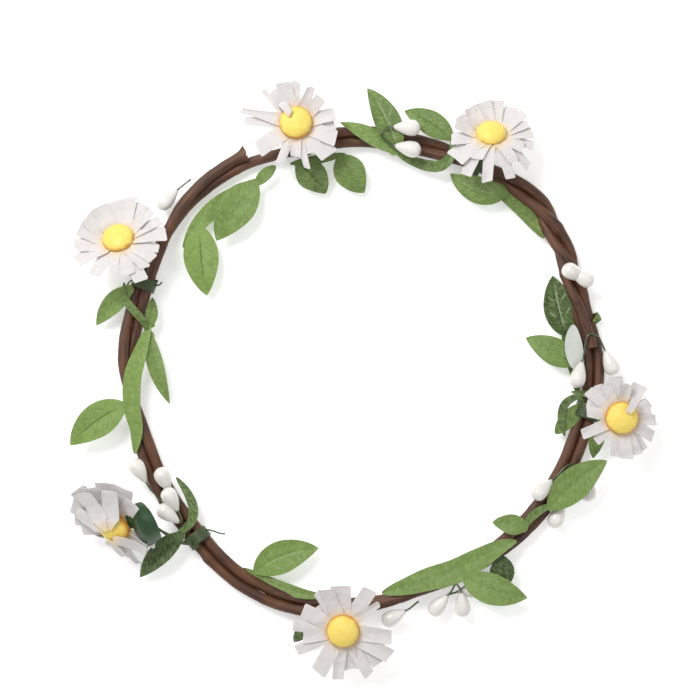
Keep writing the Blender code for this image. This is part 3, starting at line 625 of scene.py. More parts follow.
def twig_line(name, span, which):
    """One twig's line, and how thick its paper is at each point."""
    start, end = span
    count = round((end - start) / STRAND_STEP)
    doubled = start + ROPE[-1][0] - ROPE[0][0]
    points, thick = [], []
    for i in range(count + 1):
        angle = start + (end - start) * i / count
        slots = twig_offsets(angle)
        out, up = slots[2] if which == 1 and angle <= doubled else slots[which]
        points.append(spot(angle, out, HOOP_HEIGHT + up))
        bump = sum(math.exp(-((angle - knuckle) / KNUCKLE_WIDTH) ** 2) for knuckle in KNUCKLES[name])
        lumps = noise.noise(Vector((angle * LUMPS_PER_DEGREE, which * 9.0, 0.0)))
        thick.append(STRAND_RADIUS * (1 + KNUCKLE_SWELL * bump + LUMP_SWELL * lumps))
    return {"points": points, "thick": thick, "along": runs(points)}


TORN_STEPS = 8              # rings in which a torn end grows wider
TORN_SWELL = 0.18
TORN_REACH = 2.4            # length over which its paper is drawn out
TORN_NEAR = 4
TORN_FLARE = 1.1
TORN_DRAW = 0.9


def tear(mesh, end, out_way, travel):
    """Draws a strand's torn end out unevenly, as paper tears, most on its outer side."""
    for vert in mesh.vertices:
        place = vert.co / MM - end
        gone = place.dot(travel)
        if abs(gone) < TORN_REACH and place.length < TORN_NEAR:
            rough = 0.5 + noise.noise(place * 1.7 + Vector((3, 1, 2)))
            outer = max(0.0, place.dot(out_way) / STRAND_RADIUS)
            pull = max(0.0, 1 - abs(gone) / TORN_REACH) ** 2
            vert.co += (out_way * (TORN_FLARE * outer) - travel * (TORN_DRAW * rough)) * pull * MM


for seed, (name, span, which) in enumerate((("long", LONG_TWIG, 1), ("short", SHORT_TWIG, 0))):
    line = twig_line(name, span, which)
    if name == "short":
        for i in range(TORN_STEPS):
            line["thick"][i] *= 1 + TORN_SWELL - TORN_SWELL * i / TORN_STEPS
    twig = grow(f"paper_twig_{name}", line_mesh(name, [line]), round_tree,
                {"Sides": 28, "Capped": False, "Crease depth": 0.22, "Wrap pitch": 13.0,
                 "Wrap step": 0.12, "Seed": seed * 3.7, "Material": paper_look},
                wall=STRAND_WALL, wall_side=-1.0)
    if name == "short":
        tear(twig.data, line["points"][0], outward(SHORT_TWIG[0]), along(SHORT_TWIG[0]))
    place_piece(twig, "hoop", "kraft_paper_wrap", f"twig_wrap_{name}")
    print(twig.name, round(line["along"][-1]), "mm long,", len(twig.data.polygons), "faces")

# %% [markdown]
# ## Cloth finishes
#
# Petals and leaves are cut from polyester ribbon. White petal ribbon is woven with cross-ribs, with
# painted shade between them, is cut hot so its edge is a little dark, and carries a painted yellow
# reflection of the centre next to it. Leaf ribbon is satin: threads on a slant give it a soft sheen,
# partly painted as lighter slanted streaks, and a hot die has pressed veins into it, with a painted
# pale highlight on some leaves and painted dark shade in the groove on others. Leaves are darker or
# lighter partly by their own green and partly by painted shade. Each point's place on the strip is
# stored in millimetres as length, width and half width.

# %% Petal ribbon
RIB_SPACING = 0.85          # the real ribs are half as far apart, too fine to show
# Polyester ribbon, woven with cross-ribs: matt white, with painted shade between its ribs and a
# painted yellow reflection of the centre near it.
petal_look, tree, shader = new_material("polyester_ribbon_ribbed", Roughness=0.8, Sheen_Weight=0.25,
                                        Sheen_Roughness=0.5)
cloth = add(tree, "ShaderNodeAttribute", attribute_name="cloth")
parts = add(tree, "ShaderNodeSeparateXYZ", {"Vector": cloth.outputs["Vector"]})
ribbed = add(tree, "ShaderNodeAttribute", attribute_name="ribbed")
rib_turn = add(tree, "ShaderNodeMath", {0: parts.outputs["X"], 1: 2 * math.pi / RIB_SPACING},
               operation="MULTIPLY")
rib_wave = add(tree, "ShaderNodeMath", {0: rib_turn}, operation="SINE")
# Painted shade: grey in the valleys between the ribs, where the relief is lowest.
rib_valley_shade = add(tree, "ShaderNodeMapRange", {"Value": rib_wave, "From Min": -1.0, "From Max": 0.2,
                                            "To Min": 0.3, "To Max": 0.0})
rib_here = add(tree, "ShaderNodeMath", {0: rib_valley_shade, 1: ribbed.outputs["Fac"]}, operation="MULTIPLY")
uneven = add(tree, "ShaderNodeTexNoise",
             {"Vector": cloth.outputs["Vector"], "Scale": 0.5, "Detail": 3.0, "Roughness": 0.6})
rib_shade = add(tree, "ShaderNodeMath", {0: rib_here, 1: uneven}, operation="MULTIPLY")
cloth_tone = add(tree, "ShaderNodeMix", {"Factor": uneven, MIX_A: linear("#cec9c8"),
                                         MIX_B: linear("#dedad9")}, data_type="RGBA")
rib_shade_tone = add(tree, "ShaderNodeMix", {"Factor": rib_shade, MIX_A: cloth_tone.outputs[MIX_OUT],
                                       MIX_B: linear("#98949a")}, data_type="RGBA")
reach = add(tree, "ShaderNodeAttribute", attribute_name="reach")
# Painted reflection: the petal is tinted yellow near the centre, as the yellow dome reflects on it.
reflection_end = add(tree, "ShaderNodeMath", {0: uneven, 1: 3.5, 2: 6.6}, operation="MULTIPLY_ADD")
centre_reflection_mask = add(tree, "ShaderNodeMapRange", {"Value": reach.outputs["Fac"], "From Min": 5.2,
                                        "From Max": reflection_end, "To Min": 0.75, "To Max": 0.0})
centre_reflection_tone = add(tree, "ShaderNodeMix", {"Factor": centre_reflection_mask, MIX_A: rib_shade_tone.outputs[MIX_OUT],
                                       MIX_B: linear("#e9cf9a")}, data_type="RGBA")
tree.links.new(centre_reflection_tone.outputs[MIX_OUT], shader.inputs["Base Color"])
threads = add(tree, "ShaderNodeTexNoise",
              {"Vector": cloth.outputs["Vector"], "Scale": 3.2, "Detail": 3.0, "Roughness": 0.7})
weave = add(tree, "ShaderNodeMath", {0: rib_wave, 1: 0.2, 2: threads}, operation="MULTIPLY_ADD")
petal_bump = add(tree, "ShaderNodeBump", {"Strength": 0.45, "Distance": 0.0001, "Height": weave})
tree.links.new(petal_bump.outputs[0], shader.inputs["Normal"])
print("made", petal_look.name)

# %% Leaf ribbon
THREAD_SPACING = 0.6        # the real threads are a sixth of this, too fine to show
# Polyester satin, embossed: leaf green, darker on some leaves partly by its own tone and partly by
# painted shade, mottled, with a painted slanted highlight along its threads, and veins with a painted
# pale highlight on some leaves and painted dark shade on others.
satin_look, tree, shader = new_material("polyester_satin_embossed", Roughness=0.5, Sheen_Weight=0.15,
                                        Sheen_Roughness=0.4)
cloth = add(tree, "ShaderNodeAttribute", attribute_name="cloth")
parts = add(tree, "ShaderNodeSeparateXYZ", {"Vector": cloth.outputs["Vector"]})
shade = add(tree, "ShaderNodeAttribute", attribute_name="shade")
vein = add(tree, "ShaderNodeAttribute", attribute_name="vein")
mottle = add(tree, "ShaderNodeTexNoise",
             {"Vector": cloth.outputs["Vector"], "Scale": 0.28, "Detail": 4.0, "Roughness": 0.6})
drift = add(tree, "ShaderNodeMath", {0: mottle, 1: 0.5}, operation="SUBTRACT")
# The shade fact darkens a whole leaf: partly its own green, partly painted shade on leaves that lie in
# shadow.
shade_here = add(tree, "ShaderNodeMath", {0: drift, 1: 0.5, 2: shade.outputs["Fac"]},
                 operation="MULTIPLY_ADD", use_clamp=True)
green_and_painted_shade = add(tree, "ShaderNodeMix", {"Factor": shade_here, MIX_A: linear("#7a9645"),
                                        MIX_B: linear("#1c2e12")}, data_type="RGBA")
thread_place = add(tree, "ShaderNodeMath", {0: parts.outputs["X"], 1: parts.outputs["Y"]},
                   operation="ADD")
thread_turn = add(tree, "ShaderNodeMath", {0: thread_place, 1: 2 * math.pi / THREAD_SPACING},
                  operation="MULTIPLY")
thread_wave = add(tree, "ShaderNodeMath", {0: thread_turn}, operation="SINE")
thread_across = add(tree, "ShaderNodeMath", {0: parts.outputs["X"], 1: parts.outputs["Y"]},
                    operation="SUBTRACT")
thread_along = add(tree, "ShaderNodeMath", {0: thread_across, 1: 0.2}, operation="MULTIPLY")
thread_map = add(tree, "ShaderNodeCombineXYZ", {"X": thread_place, "Y": thread_along})
glint = add(tree, "ShaderNodeTexNoise",
            {"Vector": thread_map, "Scale": 1.5, "Detail": 3.0, "Roughness": 0.7})
# Painted highlight: lighter slanted streaks along the threads.
painted_glint_mask = add(tree, "ShaderNodeMapRange", {"Value": glint, "From Min": 0.45, "From Max": 0.75,
                                              "To Min": 0.0, "To Max": 0.6})
painted_glint_tone = add(tree, "ShaderNodeMix", {"Factor": painted_glint_mask, MIX_A: green_and_painted_shade.outputs[MIX_OUT],
                                         MIX_B: linear("#a0ba72")}, data_type="RGBA")
# Veins: a painted pale highlight where vein is above 0, painted shade in the groove where it is below 0.
vein_highlight_mask = add(tree, "ShaderNodeMapRange", {"Value": vein.outputs["Fac"], "To Max": 0.75})
vein_highlight_tone = add(tree, "ShaderNodeMix", {"Factor": vein_highlight_mask, MIX_A: painted_glint_tone.outputs[MIX_OUT],
                                        MIX_B: linear("#c3d2ae")}, data_type="RGBA")
vein_groove_shade_mask = add(tree, "ShaderNodeMapRange", {"Value": vein.outputs["Fac"], "From Max": -1.0, "To Max": 0.6})
vein_groove_shade_tone = add(tree, "ShaderNodeMix", {"Factor": vein_groove_shade_mask, MIX_A: vein_highlight_tone.outputs[MIX_OUT],
                                        MIX_B: linear("#2c451d")}, data_type="RGBA")
pale = add(tree, "ShaderNodeAttribute", attribute_name="pale")
back_tone = add(tree, "ShaderNodeMix", {"Factor": pale.outputs["Fac"], MIX_A: vein_groove_shade_tone.outputs[MIX_OUT],
                                        MIX_B: linear("#c9cdc6")}, data_type="RGBA")
tree.links.new(back_tone.outputs[MIX_OUT], shader.inputs["Base Color"])
satin = add(tree, "ShaderNodeMath", {0: thread_wave, 1: 0.4, 2: glint}, operation="MULTIPLY_ADD")
satin_bump = add(tree, "ShaderNodeBump", {"Strength": 0.55, "Distance": 0.00015, "Height": satin})
tree.links.new(satin_bump.outputs[0], shader.inputs["Normal"])
print("made", satin_look.name)

# %% [markdown]
# ## The daisies
#
# A daisy is a fringe of petal ribbon wound round a wire stem, so its petals lie in two rough layers
# and no two are alike: some taper, some droop, some have been folded over the centre. Each petal is
# therefore listed one by one: its angle, how far its tip reaches, its width at the root and the tip, the
# angle at which it rises from the flower, how far it curls up (or down, if negative) and its layer.

# %% Where the daisies stand
PETAL_THICKNESS = 0.22
SHEET_HALF = 0.25           # half the thickness of the petals' solid
GAP = 0.3
STEM_RADIUS = 0.5
STEM_BORE = 0.8
CENTRE_RADIUS = 6.0
CENTRE_HEIGHT = 4.6
CENTRE_SOCKET = 2.6
CALYX_RADIUS = 3.8
CALYX_HEIGHT = 3.4
CALYX_MOUTH = 1.7
STEM_SEAT = 60
STEM_PULL = 0.45
SEPAL_DAISY = 5
# tie angle, head (angle, out, up), tilt, tilt's turn from outward
DAISIES = (
    (104.3, (104.3, 7.1, 16.0), 8, 0),
    (60.3, (60.3, 11.0, 16.5), 42, 30),
    (158.5, (151.9, 13.7, 17.0), 36, -47),
    (349.3, (349.3, 11.6, 16.0), 6, 0),
    (226.5, (212.9, 20.5, 16.0), 40, 22),
    (266.6, (266.6, 7.5, 16.0), 6, 0),
)
# angle, reach, root width, tip width, rise, curl, layer
PETALS = {
    1: ((167, 20.3, 4.4, 1.5, 6, -6, 0), (177, 18.8, 3.8, 2.3, 2, -4, 1),
        (215, 16.8, 4.8, 4.8, 8, -16, 0), (248, 15.9, 2.8, 2.4, 0, -10, 1),
        (270, 12.1, 3.4, 3.0, 10, -30, 0), (284, 17.0, 2.6, 1.7, 0, -8, 1),
        (298, 12.4, 3.2, 2.6, 8, -22, 0), (311, 16.7, 3.6, 3.2, 2, -12, 0),
        (321, 17.2, 3.4, 3.4, -4, -4, 1), (338, 15.7, 4.2, 4.6, 8, -14, 0),
        (357, 14.1, 3.2, 2.6, 0, -6, 1), (12, 14.4, 4.0, 3.8, 14, -8, 0),
        (41, 12.4, 4.2, 3.6, 30, 16, 0), (65, 13.6, 4.4, 2.2, 26, 10, 1),
        (90, 15.0, 3.0, 2.4, 12, 6, 0), (108, 15.2, 4.4, 4.4, 20, 0, 1),
        (124, 14.3, 3.6, 2.6, 10, 4, 0), (135, 17.2, 3.4, 1.4, 4, 0, 1)),
    2: ((264, 17.0, 3.2, 3.0, -14, -34, 1), (243, 12.0, 4.0, 3.6, 10, -44, 0),
        (236, 16.4, 3.4, 3.4, -14, -36, 1), (220, 15.6, 4.4, 4.0, 2, -40, 0),
        (204, 16.2, 3.6, 3.2, -8, -20, 1), (188, 14.6, 4.6, 4.6, 6, -8, 0),
        (166, 13.2, 4.8, 5.2, 20, 10, 0), (147, 13.6, 4.4, 4.0, 14, 12, 1),
        (128, 12.8, 4.8, 4.6, 24, 14, 0), (103, 13.2, 5.2, 5.4, 26, 12, 1),
        (80, 14.2, 4.6, 4.4, 22, 10, 0), (56, 14.6, 4.6, 4.0, 16, 6, 1),
        (36, 15.2, 4.2, 3.4, 14, 4, 0), (18, 14.4, 3.8, 3.2, 10, 0, 1), (4, 15.0, 4.4, 4.2, 4, -4, 0),
        (348, 15.4, 3.4, 3.0, -6, -14, 1), (334, 12.6, 4.4, 4.0, 6, -26, 0),
        (322, 16.8, 3.2, 3.0, -16, -24, 1), (305, 13.6, 3.6, 3.2, 4, -38, 0),
        (294, 16.8, 3.2, 3.0, -16, -30, 1)),
    3: ((300, 17.4, 4.0, 4.2, -12, -24, 1), (289, 14.8, 4.2, 3.8, 4, -36, 0),
        (266, 13.4, 3.0, 2.6, 4, -34, 0), (240, 16.2, 4.6, 3.6, 4, -26, 1),
        (214, 17.2, 5.0, 4.4, 12, -14, 0), (192, 15.8, 5.4, 5.0, 16, 4, 1),
        (168, 14.2, 5.2, 5.2, 24, 12, 0), (147, 13.8, 5.2, 5.4, 26, 14, 1),
        (122, 13.8, 5.2, 5.0, 28, 12, 0), (98, 14.0, 4.8, 5.0, 28, 12, 1),
        (75, 15.8, 4.4, 4.2, 24, 8, 0), (57, 15.8, 4.2, 3.8, 18, 8, 1), (41, 15.8, 4.0, 3.6, 14, 4, 0),
        (23, 16.8, 3.8, 3.2, 8, 0, 1), (4, 17.6, 4.6, 4.8, 2, -6, 0), (345, 15.4, 3.4, 2.8, 0, -16, 1),
        (329, 15.4, 3.8, 3.4, 2, -26, 0), (313, 14.8, 3.6, 3.2, -2, -34, 0)),
    4: ((141, 15.7, 3.6, 3.2, 8, -10, 0), (126, 14.7, 3.0, 2.6, 4, -6, 1),
        (116, 13.6, 3.0, 2.8, 12, -4, 0), (99, 15.2, 4.0, 4.2, 10, 0, 1),
        (59, 14.0, 4.2, 4.6, -4, 0, 1), (80, 12.6, 3.2, 2.4, 18, 4, 0),
        (28, 12.0, 3.8, 3.4, 12, -42, 0), (12, 11.4, 3.2, 2.8, 14, -30, 0),
        (356, 13.0, 3.4, 3.0, 8, -20, 1), (330, 13.8, 3.8, 3.2, 8, -36, 0),
        (306, 14.8, 3.4, 3.0, -6, -10, 1), (296, 14.8, 3.0, 2.8, 6, -16, 0),
        (278, 15.0, 3.8, 3.8, 10, -14, 0), (263, 14.2, 3.6, 3.8, 6, -10, 1),
        (224, 12.6, 3.0, 2.6, 0, -8, 1), (203, 15.5, 3.4, 3.0, 6, -14, 0),
        (169, 12.9, 3.4, 3.2, 10, -12, 0), (154, 13.6, 3.2, 3.0, -2, -4, 1)),
    5: ((188, 14.6, 5.6, 6.2, 10, -10, 0), (172, 16.4, 6.4, 6.6, 8, -6, 1),
        (150, 17.6, 6.6, 7.0, 10, -4, 0), (130, 19.4, 6.4, 6.6, 6, 4, 1),
        (110, 18.6, 6.4, 6.6, 12, 2, 0), (90, 20.2, 6.2, 6.6, 8, 4, 1),
        (70, 20.6, 6.2, 6.8, 12, -2, 0), (52, 17.2, 5.4, 4.8, 14, 4, 1),
        (283, 19.6, 4.6, 1.6, -6, -22, 0), (322, 13.4, 3.8, 3.6, 8, -12, 0),
        (331, 15.8, 3.6, 3.4, -4, -8, 1)),
    6: ((123, 17.2, 3.0, 2.4, 8, 0, 1), (110, 16.6, 4.0, 3.6, 14, 4, 0),
        (93, 16.8, 5.2, 5.8, 18, -8, 1), (57, 18.2, 4.6, 4.2, 10, -4, 0),
        (39, 17.0, 3.6, 1.8, 16, 14, 1), (352, 17.8, 4.8, 4.2, 8, -14, 0),
        (331, 19.6, 4.6, 4.2, 6, -12, 1), (317, 18.2, 4.2, 4.4, -6, -4, 0),
        (300, 19.2, 3.8, 3.2, 6, -12, 1), (283, 14.8, 4.4, 4.2, -4, -8, 0),
        (264, 18.2, 3.6, 3.2, 6, -10, 1), (240, 18.0, 4.6, 4.8, 8, -10, 0),
        (204, 18.5, 3.6, 3.2, 4, -8, 1), (190, 14.6, 3.8, 3.6, 10, -12, 0),
        (174, 18.2, 3.8, 3.2, 6, -4, 1), (152, 16.4, 4.6, 4.2, 10, -6, 0),
        (135, 12.6, 3.6, 3.2, -6, 0, 1)),
}
# A petal that lies or folds over the centre: angle, the radii and heights that it passes, width
FOLDED = {
    1: ((128, ((3.0, 0.1), (6.4, 0.6), (8.6, 3.4), (7.2, 6.2), (3.6, 6.4), (2.6, 6.2)), 2.6),),
    4: ((56, ((3.0, 0.1), (6.6, 0.8), (7.6, 4.0), (6.0, 5.9), (3.0, 6.3), (2.4, 6.1)), 2.6),),
    5: ((160, ((2.4, 5.3), (5.0, 4.9), (8.0, 3.6), (12.0, 3.0), (15.2, 2.6)), 5.8),
        (118, ((1.4, 5.6), (4.6, 5.3), (8.0, 4.3), (13.0, 4.0), (18.0, 4.6)), 6.0),
        (82, ((2.0, 5.6), (5.0, 5.2), (8.0, 4.2), (13.0, 3.8), (18.6, 4.2)), 6.0),
        (322, ((1.8, 5.6), (4.6, 5.2), (7.4, 3.8), (10.6, 2.4), (14.6, 1.4)), 4.0),
        (268, ((3.2, 5.3), (5.4, 4.6), (7.6, 2.4), (11.0, 0.2), (16.6, -3.4)), 3.4)),
}


def stand(tie_angle, head, tilt, turn):
    """The foot of a daisy's stem, the way it leaves, the flower's middle, its facing and its place."""
    seat = polar(STEM_SEAT, TIE_RADIUS + GAP)
    side = along(tie_angle).cross(UP)
    foot = spot(tie_angle, 0, HOOP_HEIGHT) + side * seat.x + UP * seat.y
    leave = side * math.cos(math.radians(STEM_SEAT)) + UP * math.sin(math.radians(STEM_SEAT))
    middle = spot(*head)
    lean = outward(head[0] + turn)
    facing = (UP * math.cos(math.radians(tilt)) + lean * math.sin(math.radians(tilt))).normalized()
    place = Matrix.Translation(middle) @ UP.rotation_difference(facing).to_matrix().to_4x4()
    return foot, leave, middle, facing, place


print(sum(len(petals) for petals in PETALS.values()), "petals listed")

# %% [markdown]
# A petal's line is flat under the centre and then bends at a steady rate. It is stretched until its
# tip reaches as far as the list says. The cut at its tip is slightly slanted, and its edges are
# raised or lowered a little, drawn from a fixed seed.

# %% Petals
RIB_HEIGHT = 0.028
PETAL_CRUMPLE = 1.2         # depth of the buckles of handled cloth
PETAL_STEP = 0.22           # a quarter of a rib, so the ribs come out round
PETAL_START = 1.4           # radius at which a petal begins
BEND_START = 4.6            # radius at which a petal leaves the flat
LAYER_HEIGHTS = (0.08, -0.16)
BEND_STEPS = 24
TIP_ROUND = 0.5             # length over which the corners of a tip are rounded
TIP_CLIP = 0.22             # share of its width that the tip loses there
TIP_SKEW = 0.55             # how far a cut is off square, in mm at the petal's edge
PETAL_SPREAD = 1.28         # cloth is wider than its listed width, because its edges fray and flatten
CROWDING = math.tan(math.radians(27))       # half width of a petal for each mm from the stem
PETAL_STRIP = 18            # width of the ribbon that petals are cut from
STRIP_USED = 0.9            # share of a strip that isn't cut away


def bent_petal(angle, reach, rise, curl, layer):
    """The points of a petal in the flower's own frame."""
    shares = [i / BEND_STEPS for i in range(BEND_STEPS)]
    slopes = [math.radians(rise * ease(4 * share) + curl * share) for share in shares]
    flat_reach = sum(math.cos(slope) for slope in slopes)
    step = (reach - BEND_START) / flat_reach
    places = [(PETAL_START, LAYER_HEIGHTS[layer]), (BEND_START, LAYER_HEIGHTS[layer])]
    for slope in slopes:
        out, up = places[-1]
        places.append((out + step * math.cos(slope), up + step * math.sin(slope)))
    return [outward(angle) * out + UP * up for out, up in places]


def petal_facts(points, angle, root, tip, place, draw, number):
    """One petal's line, with its widths and its own small differences."""
    run = runs(points)
    halves = []
    for point, gone in zip(points, run):
        wide = (root + (tip - root) * ease(gone / run[-1])) * PETAL_SPREAD
        left = run[-1] - gone
        wide *= 1 - TIP_CLIP * (1 - min(1.0, left / TIP_ROUND)) ** 2
        near_root = math.hypot(point.x, point.y) if gone < BEND_START else run[-1]
        halves.append(min(wide / 2, near_root * CROWDING))
    side = outward(angle - 90)
    travel = directions(points)
    skew = draw.uniform(-TIP_SKEW, TIP_SKEW)
    slants = [place.to_3x3() @ way * (skew * max(0.0, 1 - (run[-1] - gone) / 2)) for way, gone in
              zip(travel, run)]
    return {"points": [place @ p for p in points], "half": halves, "along": run,
            "sideways": [place.to_3x3() @ side] * len(points), "slant": slants,
            "reach": [math.hypot(p.x, p.y) + max(0.0, p.z - 3) for p in points],
            "cup": draw.uniform(-0.35, 0.65), "fold": draw.uniform(-0.15, 0.3),
            "ribbed": draw.uniform(0.25, 1.0), "number": float(number)}


def cloth_area(lines):
    """The flat area of some cloth lines in square metres."""
    total = 0
    for line in lines:
        pieces = zip(line["half"], line["half"][1:], line["along"], line["along"][1:])
        total += sum((a + b) * (d - c) for a, b, c, d in pieces)
    return total * MM * MM


def declare_cloth(lines, strip_width):
    """The length in mm of a strip this wide, in mm, that a piece of cloth was cut from, nearly all used."""
    area = cloth_area(lines)
    strip_length = area / STRIP_USED / (strip_width * MM)
    return round(strip_length / MM)


for number, daisy in enumerate(DAISIES, 1):
    place = stand(*daisy)[-1]
    draw = random.Random(number)
    lines = []
    for angle, reach, root, tip, rise, curl, layer in PETALS[number]:
        points = through(bent_petal(angle, reach, rise, curl, layer), PETAL_STEP)
        lines.append(petal_facts(points, angle, root, tip, place, draw, len(lines)))
    for angle, places, width in FOLDED.get(number, ()):
        points = through([outward(angle) * out + UP * up for out, up in places], PETAL_STEP)
        lines.append(petal_facts(points, angle, width, width * 0.8, place, draw, len(lines)))
    petals = grow(f"daisy_{number}_petal_fringe", line_mesh("petals", lines), cloth_tree,
                  {"Points across": 9, "Rib spacing": RIB_SPACING, "Rib height": RIB_HEIGHT,
                   "Vein spacing": 1.0, "Vein depth": 0.0, "Crumple": PETAL_CRUMPLE, "Seed": number * 2.1,
                   "Material": petal_look}, wall=PETAL_THICKNESS)
    place_piece(petals, f"daisy_{number}", "petal_fabric", f"daisy_{number}_petals")
    length = declare_cloth(lines, PETAL_STRIP)
    print(petals.name, len(lines), "petals from a strip", PETAL_STRIP, "mm by", length, "mm")

# %% [markdown]
# ## Centres, calyxes and stems
#
# The centre is a button of pressed foam, sprayed yellow, that turns orange towards its rim, partly its
# own colour and partly painted shade. It is turned on its axis, with a socket for the stem. Behind the
# petals a green calyx holds them, and the stem is a wire wound in green floral tape.

# %% Foam, calyx plastic and floral tape
# Pressed foam, sprayed: matt lemon yellow, orange round its rim, partly its own colour and partly
# painted shade, and a faint open grain.
foam_look, tree, shader = new_material("foam_pressed_sprayed", Roughness=0.55)
rim = add(tree, "ShaderNodeAttribute", attribute_name="rim")
place = add(tree, "ShaderNodeTexCoord")
blotch = add(tree, "ShaderNodeTexNoise",
             {"Vector": place.outputs["Object"], "Scale": 420.0, "Detail": 3.0, "Roughness": 0.6})
# Orange towards the rim: partly the foam's own colour, partly painted shade where the dome turns under.
rim_orange_from = add(tree, "ShaderNodeMath", {0: blotch, 1: 0.3, 2: 0.74}, operation="MULTIPLY_ADD")
rim_orange_and_shade = add(tree, "ShaderNodeMapRange", {"Value": rim.outputs["Fac"], "From Min": rim_orange_from,
                                         "From Max": 1.0})
yellow = add(tree, "ShaderNodeMix", {"Factor": blotch, MIX_A: linear("#ecc94a"),
                                     MIX_B: linear("#f6e07e")}, data_type="RGBA")
orange = add(tree, "ShaderNodeMix", {"Factor": rim_orange_and_shade, MIX_A: yellow.outputs[MIX_OUT],
                                     MIX_B: linear("#d38a1e")}, data_type="RGBA")
tree.links.new(orange.outputs[MIX_OUT], shader.inputs["Base Color"])
cells = add(tree, "ShaderNodeTexNoise", {"Vector": place.outputs["Object"], "Scale": 2600.0})
foam_bump = add(tree, "ShaderNodeBump", {"Strength": 0.3, "Distance": 0.0001, "Height": cells})
tree.links.new(foam_bump.outputs[0], shader.inputs["Normal"])

# Moulded polyethylene calyx: deep green, waxy, with a soft highlight.
calyx_look, tree, shader = new_material("polyethylene_moulded_green", Roughness=0.32)
place = add(tree, "ShaderNodeTexCoord")
flow = add(tree, "ShaderNodeTexNoise",
           {"Vector": place.outputs["Object"], "Scale": 260.0, "Detail": 3.0})
green = add(tree, "ShaderNodeMix", {"Factor": flow, MIX_A: linear("#16301a"),
                                    MIX_B: linear("#35572f")}, data_type="RGBA")
tree.links.new(green.outputs[MIX_OUT], shader.inputs["Base Color"])
flow_bump = add(tree, "ShaderNodeBump", {"Strength": 0.25, "Distance": 0.0002, "Height": flow})
tree.links.new(flow_bump.outputs[0], shader.inputs["Normal"])

# Floral tape, stretched and wound: waxed crepe paper, olive green, with fine crinkles across it.
tape_look, tree, shader = new_material("floral_tape_waxed", Roughness=0.5)
strand = add(tree, "ShaderNodeAttribute", attribute_name="strand")
crinkle = add(tree, "ShaderNodeTexNoise",
              {"Vector": strand.outputs["Vector"], "Scale": 2.4, "Detail": 4.0, "Roughness": 0.65})
tape_tone = add(tree, "ShaderNodeMix", {"Factor": crinkle, MIX_A: linear("#141f10"),
                                        MIX_B: linear("#4d6135")}, data_type="RGBA")
tree.links.new(tape_tone.outputs[MIX_OUT], shader.inputs["Base Color"])
tape_bump = add(tree, "ShaderNodeBump", {"Strength": 0.5, "Distance": 0.0001, "Height": crinkle})
tree.links.new(tape_bump.outputs[0], shader.inputs["Normal"])
print("made", foam_look.name, calyx_look.name, tape_look.name)

# %% Centres, calyxes and stems
DOME_FULLNESS = 2.4         # 2 would be an ellipse
DOME_RINGS = 18
DOME_SIDES = 56
RIM_INNER, RIM_OUTER = 5.2, 5.7     # radii of the rounded lower edge
RIM_HEIGHT = 0.5
FOAM_ROUGHNESS = 0.16
DOME_SIZES = {2: (0.9, 0.85), 3: (0.97, 0.85)}      # shares of radius and height of pressed ones
CALYX_RIBS = 10
CALYX_RIB_HEIGHT = 0.03     # share of the radius
CALYX_RINGS = 8
CALYX_SIDES = 60
CALYX_EDGE = 0.2
SEPAL_ROOM = 0.8            # height that the sepals take between the petals and the calyx
STEM_SWELL = 1.04           # the tape makes the stem this much thicker than its solid
STEM_STEP = 0.35


def turned(name, profile, sides, place, closed=False, rough=0.0, ribs=0.0):
    """A profile of (radius, height) turned round the flower's axis, as a finished mesh."""
    bm = bmesh.new()
    rim_layer = bm.verts.layers.float.new("rim")
    rings = []
    for radius, height in profile:
        ring = []
        for i in range(1 if radius == 0 else sides):
            turn = 2 * math.pi * i / sides
            wide = radius * (1 + ribs * math.cos(CALYX_RIBS * turn))
            point = Vector((wide * math.cos(turn), wide * math.sin(turn), height))
            if rough and height > SHEET_HALF + GAP:
                point += point.normalized() * noise.noise(point * 0.9) * rough
            vert = bm.verts.new(place @ point * MM)
            vert[rim_layer] = radius / CENTRE_RADIUS
            ring.append(vert)
        rings.append(ring)
    pairs = list(zip(rings, rings[1:])) + ([(rings[-1], rings[0])] if closed else [])
    for a, b in pairs:
        for i in range(sides):
            j = (i + 1) % sides
            bm.faces.new(dict.fromkeys((a[i % len(a)], a[j % len(a)], b[j % len(b)], b[i % len(b)])))
    bmesh.ops.recalc_face_normals(bm, faces=bm.faces)
    mesh = bpy.data.meshes.new(name)
    bm.to_mesh(mesh)
    bm.free()
    return mesh


def bezier(ends, t):
    """The point at t on a curve with four control points."""
    a, b, c, d = ends
    return a * (1 - t) ** 3 + b * (3 * t * (1 - t) ** 2) + c * (3 * t * t * (1 - t)) + d * t ** 3


centre_low = SHEET_HALF + GAP
socket_top = centre_low + CENTRE_SOCKET
dome = [(0, socket_top), (STEM_BORE, socket_top), (STEM_BORE, centre_low), (RIM_INNER, centre_low),
        (RIM_OUTER, centre_low + 0.15)]
for i in range(DOME_RINGS + 1):
    high = (i / DOME_RINGS) ** 0.8
    wide = math.sqrt(max(0.0, 1 - high ** DOME_FULLNESS))
    reach = CENTRE_RADIUS * wide if i < DOME_RINGS else 0
    dome.append((reach, centre_low + RIM_HEIGHT + (CENTRE_HEIGHT - RIM_HEIGHT) * high))

